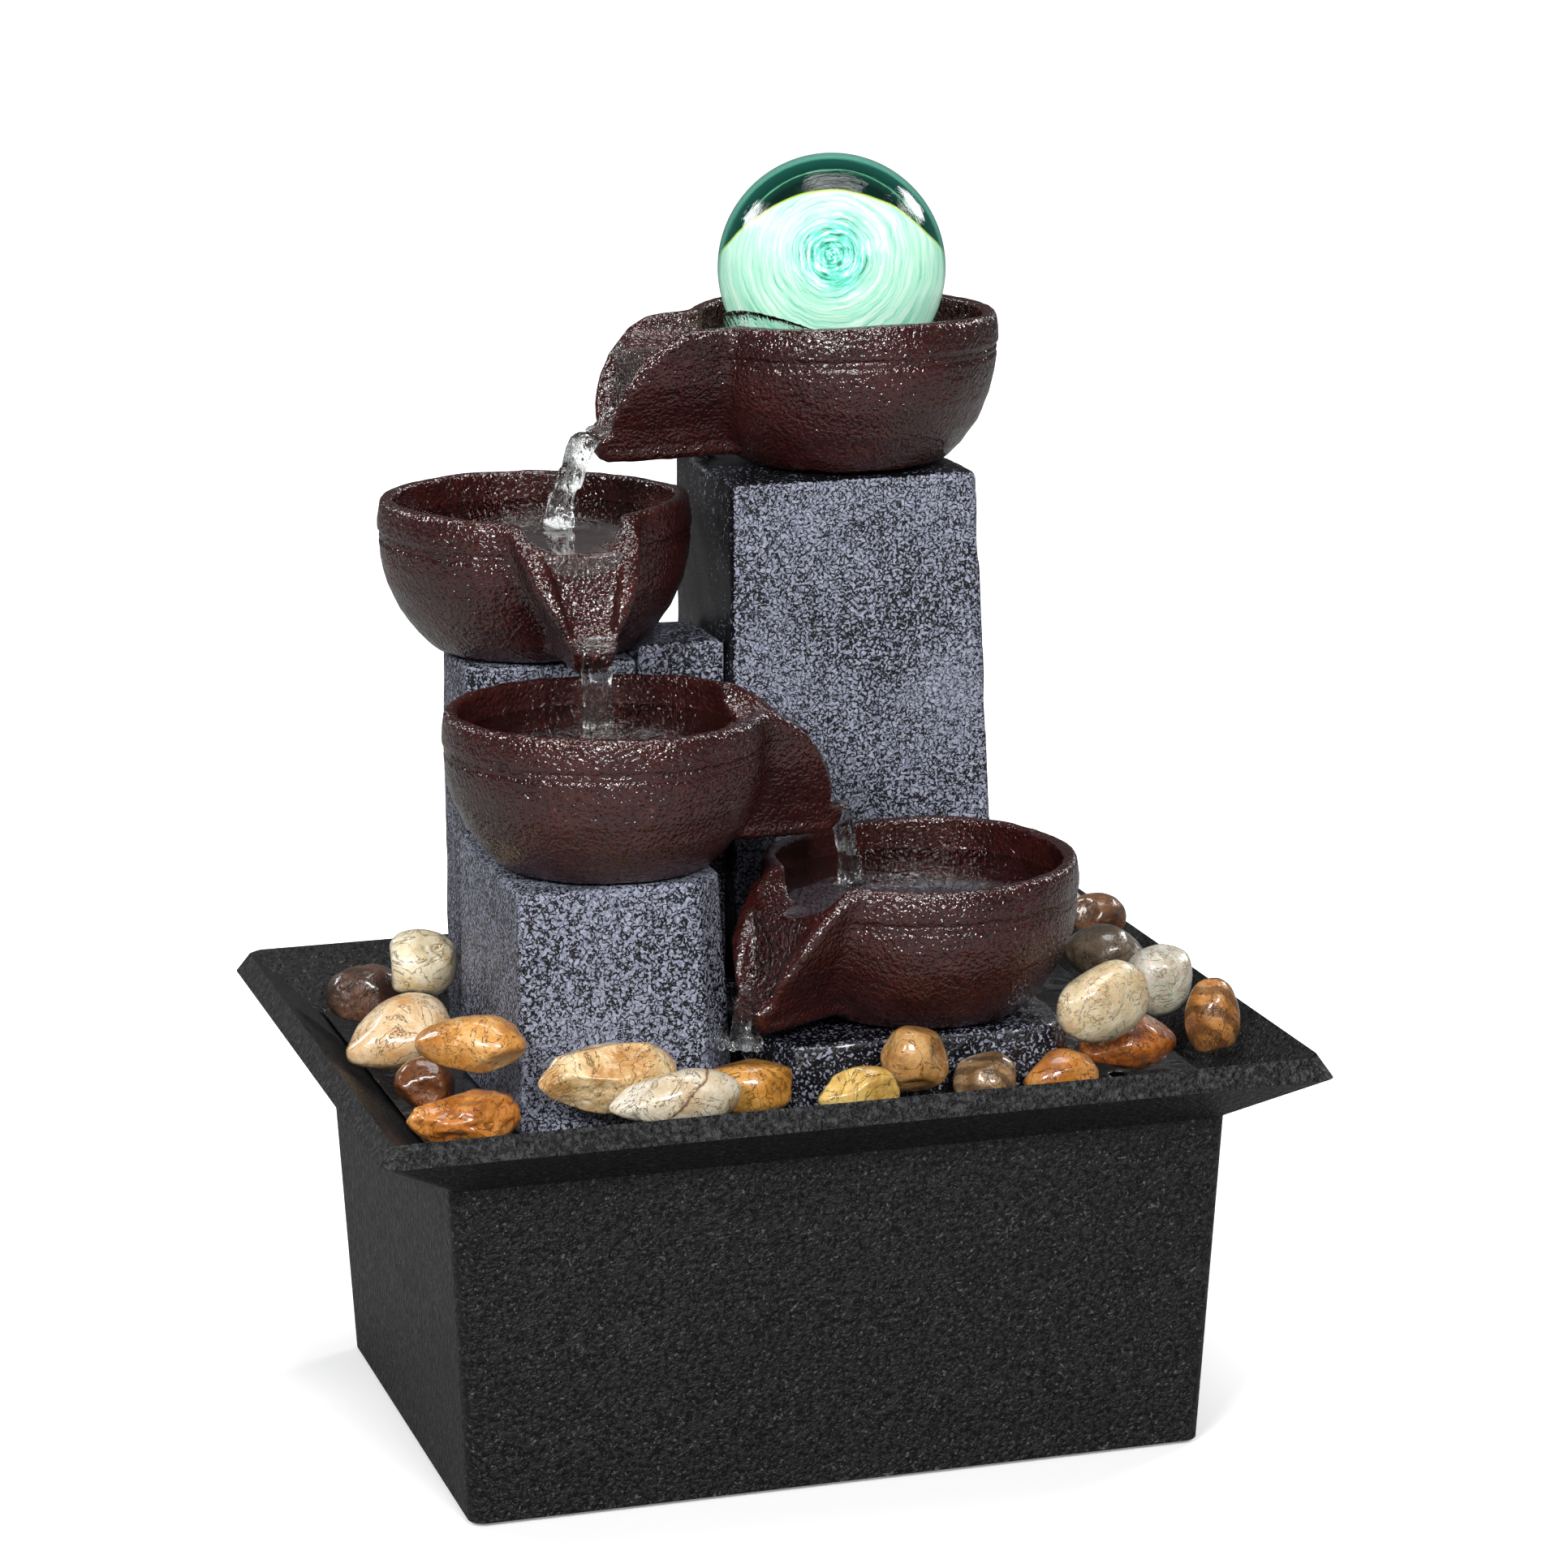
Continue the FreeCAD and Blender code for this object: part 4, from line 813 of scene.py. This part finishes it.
# ---------------------------------------------------------------- plain fittings
def dress_fittings():
    """Better materials for the CAD nodes that keep their own shape."""
    black = plain_look("pump_black", (0.012, 0.012, 0.013), 0.38)
    rubber = plain_look("rubber_black", (0.014, 0.014, 0.014), 0.75, 0.0004, 0.00008)
    looks = {
        "black_rubber": rubber,
        "pump_plastic": black,
        "dial_plastic": black,
        "cover_plastic": plain_look("cover_black", (0.012, 0.012, 0.014), 0.5, 0.0008, 0.0001),
        "shaft_ceramic": plain_look("ceramic_white", (0.75, 0.75, 0.72), 0.3),
        "clear_rubber": plain_look("cup_rubber", (0.35, 0.37, 0.38), 0.35, Transmission_Weight=0.4),
        "impeller_plastic": plain_look("impeller_white", (0.7, 0.7, 0.67), 0.35),
        "magnet": plain_look("ferrite", (0.05, 0.05, 0.052), 0.5, Metallic=0.6),
        "foam": plain_look("foam_open", (0.03, 0.03, 0.034), 0.95, 0.0012, 0.0012, 0.5),
        "screw_steel": plain_look("screw_steel", (0.55, 0.55, 0.56), 0.3, 0.0003, 0.00003, 0.1, Metallic=1.0),
        "tube_vinyl": plain_look("tube_vinyl", (0.75, 0.82, 0.82), 0.15, Transmission_Weight=0.8, IOR=1.5),
        "board": plain_look("board_green", (0.02, 0.12, 0.05), 0.35),
        "lead_vinyl": plain_look("lead_black", (0.012, 0.012, 0.012), 0.45),
        "seat_plastic": plain_look("seat_black", (0.012, 0.012, 0.013), 0.25),
        "lens_clear": plain_look("lens_glowing", (0.6, 1.0, 0.8), 0.1, 0.001, 0.00002, 0.05,
                                 Emission_Color=(0.05, 1.0, 0.55, 1.0), Emission_Strength=6.0),
    }
    for part in frame["record"]["subparts"]:
        piece = frame["nodes"][part["node"]]
        if not piece.hide_render:
            piece.data.materials.clear()
            piece.data.materials.append(looks[part["material_slot"]])


def build_deck():
    look = Look("deck_wet_black", Coat_Weight=1.0, Coat_Roughness=0.05)
    shade = look.ramp(look.noise(0.01, 4.0), (0.3, (0.003, 0.003, 0.0035)), (0.7, (0.010, 0.010, 0.012)))
    look.relief((look.noise(0.003, 3.0), 0.0008), (look.noise(0.0009, 2.0), 0.0005))
    look.set(look.shader, Base_Color=shade, Roughness=0.3)
    deck = recast("stone_deck", "stone_deck_casting", 1.0, 0.15, 5.0, 90, 3)
    finish_piece(deck, "tower", look.material, "deck_resin", "stone_deck")


# ---------------------------------------------------------------- camera, floor and light
def view_axes():
    """Right, up and backward directions of the photograph's camera."""
    azimuth, elevation, roll = (math.radians(v) for v in (-16.92, 13.49, -0.29))
    level = math.cos(elevation)
    back = Vector((math.sin(azimuth) * level, -math.cos(azimuth) * level, math.sin(elevation)))
    right = (-back).cross(Vector((0, 0, 1))).normalized()
    turn = Matrix.Rotation(roll, 3, back)
    return turn @ right, turn @ right.cross(-back), back


def build_camera():
    target = Vector((5.08, 0.0, 139.75)) * MM
    right, up, back = view_axes()
    data = bpy.data.cameras.new("camera")
    data.lens = 111.8
    data.sensor_width = 36.0
    data.clip_start = 0.05
    data.clip_end = 20.0
    camera = bpy.data.objects.new("camera", data)
    bpy.context.scene.collection.objects.link(camera)
    pose = Matrix((right, up, back)).transposed().to_4x4()
    pose.translation = target + back * 1.05754
    camera.matrix_world = pose
    bpy.context.scene.camera = camera


LIGHT_TARGET = Vector((0, 0, 0.13))
ROOM_GLOW = 0.11


def area_light(name, place, size, power):
    data = bpy.data.lights.new(name, "AREA")
    data.shape = "RECTANGLE"
    data.size, data.size_y = size
    data.energy = power
    light = bpy.data.objects.new(name, data)
    bpy.context.scene.collection.objects.link(light)
    light.location = place
    light.rotation_euler = (LIGHT_TARGET - Vector(place)).to_track_quat("-Z", "Y").to_euler()


def paper_look():
    """Pale sheet that fades to clean white away from the fountain."""
    look = Look("floor_pale", Emission_Color=(1.0, 1.0, 1.0, 1.0))
    away = look.distance(look.axis(0), look.axis(1))
    look.relief((look.noise(0.002, 2.0), 0.00001))
    seen = look.node("ShaderNodeLightPath").outputs["Is Camera Ray"]
    glow = look.ramp(away, (0.13, 0.25), (0.32, 1.0))
    look.set(look.shader, Base_Color=look.mix(seen, (0.30, 0.30, 0.30), (0.9, 0.9, 0.9)), Roughness=0.8,
             Emission_Strength=look.math("MULTIPLY", glow, seen))
    return look.material


def build_studio():
    bpy.context.scene.view_settings.view_transform = "Standard"
    world = bpy.data.worlds.new("studio")
    bpy.context.scene.world = world
    world.use_nodes = True
    nodes, links = world.node_tree.nodes, world.node_tree.links
    nodes["Background"].inputs["Color"].default_value = (0.95, 0.97, 1.0, 1)
    nodes["Background"].inputs["Strength"].default_value = ROOM_GLOW
    paper = nodes.new("ShaderNodeBackground")
    paper.inputs["Color"].default_value = (1, 1, 1, 1)
    path, seen = nodes.new("ShaderNodeLightPath"), nodes.new("ShaderNodeMath")
    mix = nodes.new("ShaderNodeMixShader")
    seen.operation = "MAXIMUM"
    links.new(path.outputs["Is Camera Ray"], seen.inputs[0])
    links.new(path.outputs["Is Transmission Ray"], seen.inputs[1])
    links.new(seen.outputs[0], mix.inputs[0])
    links.new(nodes["Background"].outputs[0], mix.inputs[1])
    links.new(paper.outputs[0], mix.inputs[2])
    links.new(mix.outputs[0], nodes["World Output"].inputs["Surface"])
    right, up, back = view_axes()
    for name, sideways, power in (("left_box", -0.351, 18.0), ("right_box", 0.273, 18.0)):
        place = (right * sideways + up * 0.2535 + back * 0.91) * 1.6 + Vector((0.0, 0.0, 0.2))
        area_light(name, place, (0.45, 0.34), power)
    area_light("top", (0.1, 0.15, 1.4), (0.8, 0.5), 9.0)
    area_light("back_left_box", (-1.0, 1.1, 1.0), (0.5, 0.4), 9.0)
    area_light("back_right_box", (1.35, 0.75, 0.9), (0.5, 0.4), 8.0)
    mesh = bmesh.new()
    bmesh.ops.create_grid(mesh, x_segments=2, y_segments=2, size=6.0)
    data = bpy.data.meshes.new("floor")
    mesh.to_mesh(data)
    mesh.free()
    floor = bpy.data.objects.new("floor", data)
    bpy.context.scene.collection.objects.link(floor)
    data.materials.append(paper_look())


# ---------------------------------------------------------------- build
build_camera()
build_studio()
glaze = bowl_look()
for number, bowl_name in enumerate(BOWLS):
    build_bowl(bowl_name, glaze, 11 + number)
build_stones()
basin = bevelled("basin", "basin_moulding", 0.7)
finish_piece(basin, "basin", basin_look(), "basin_resin", "basin")
build_deck()
water = water_look("water_clear", 0.0004)
falling = water_look("water_falling", 0.0012)
for number, bowl_name in enumerate(BOWLS):
    build_water(bowl_name, water, falling, 11 + number)
build_splash(falling)
build_ball()
for number, pebble_key in enumerate(PEBBLES):
    build_pebble(pebble_key, number)
dress_fittings()
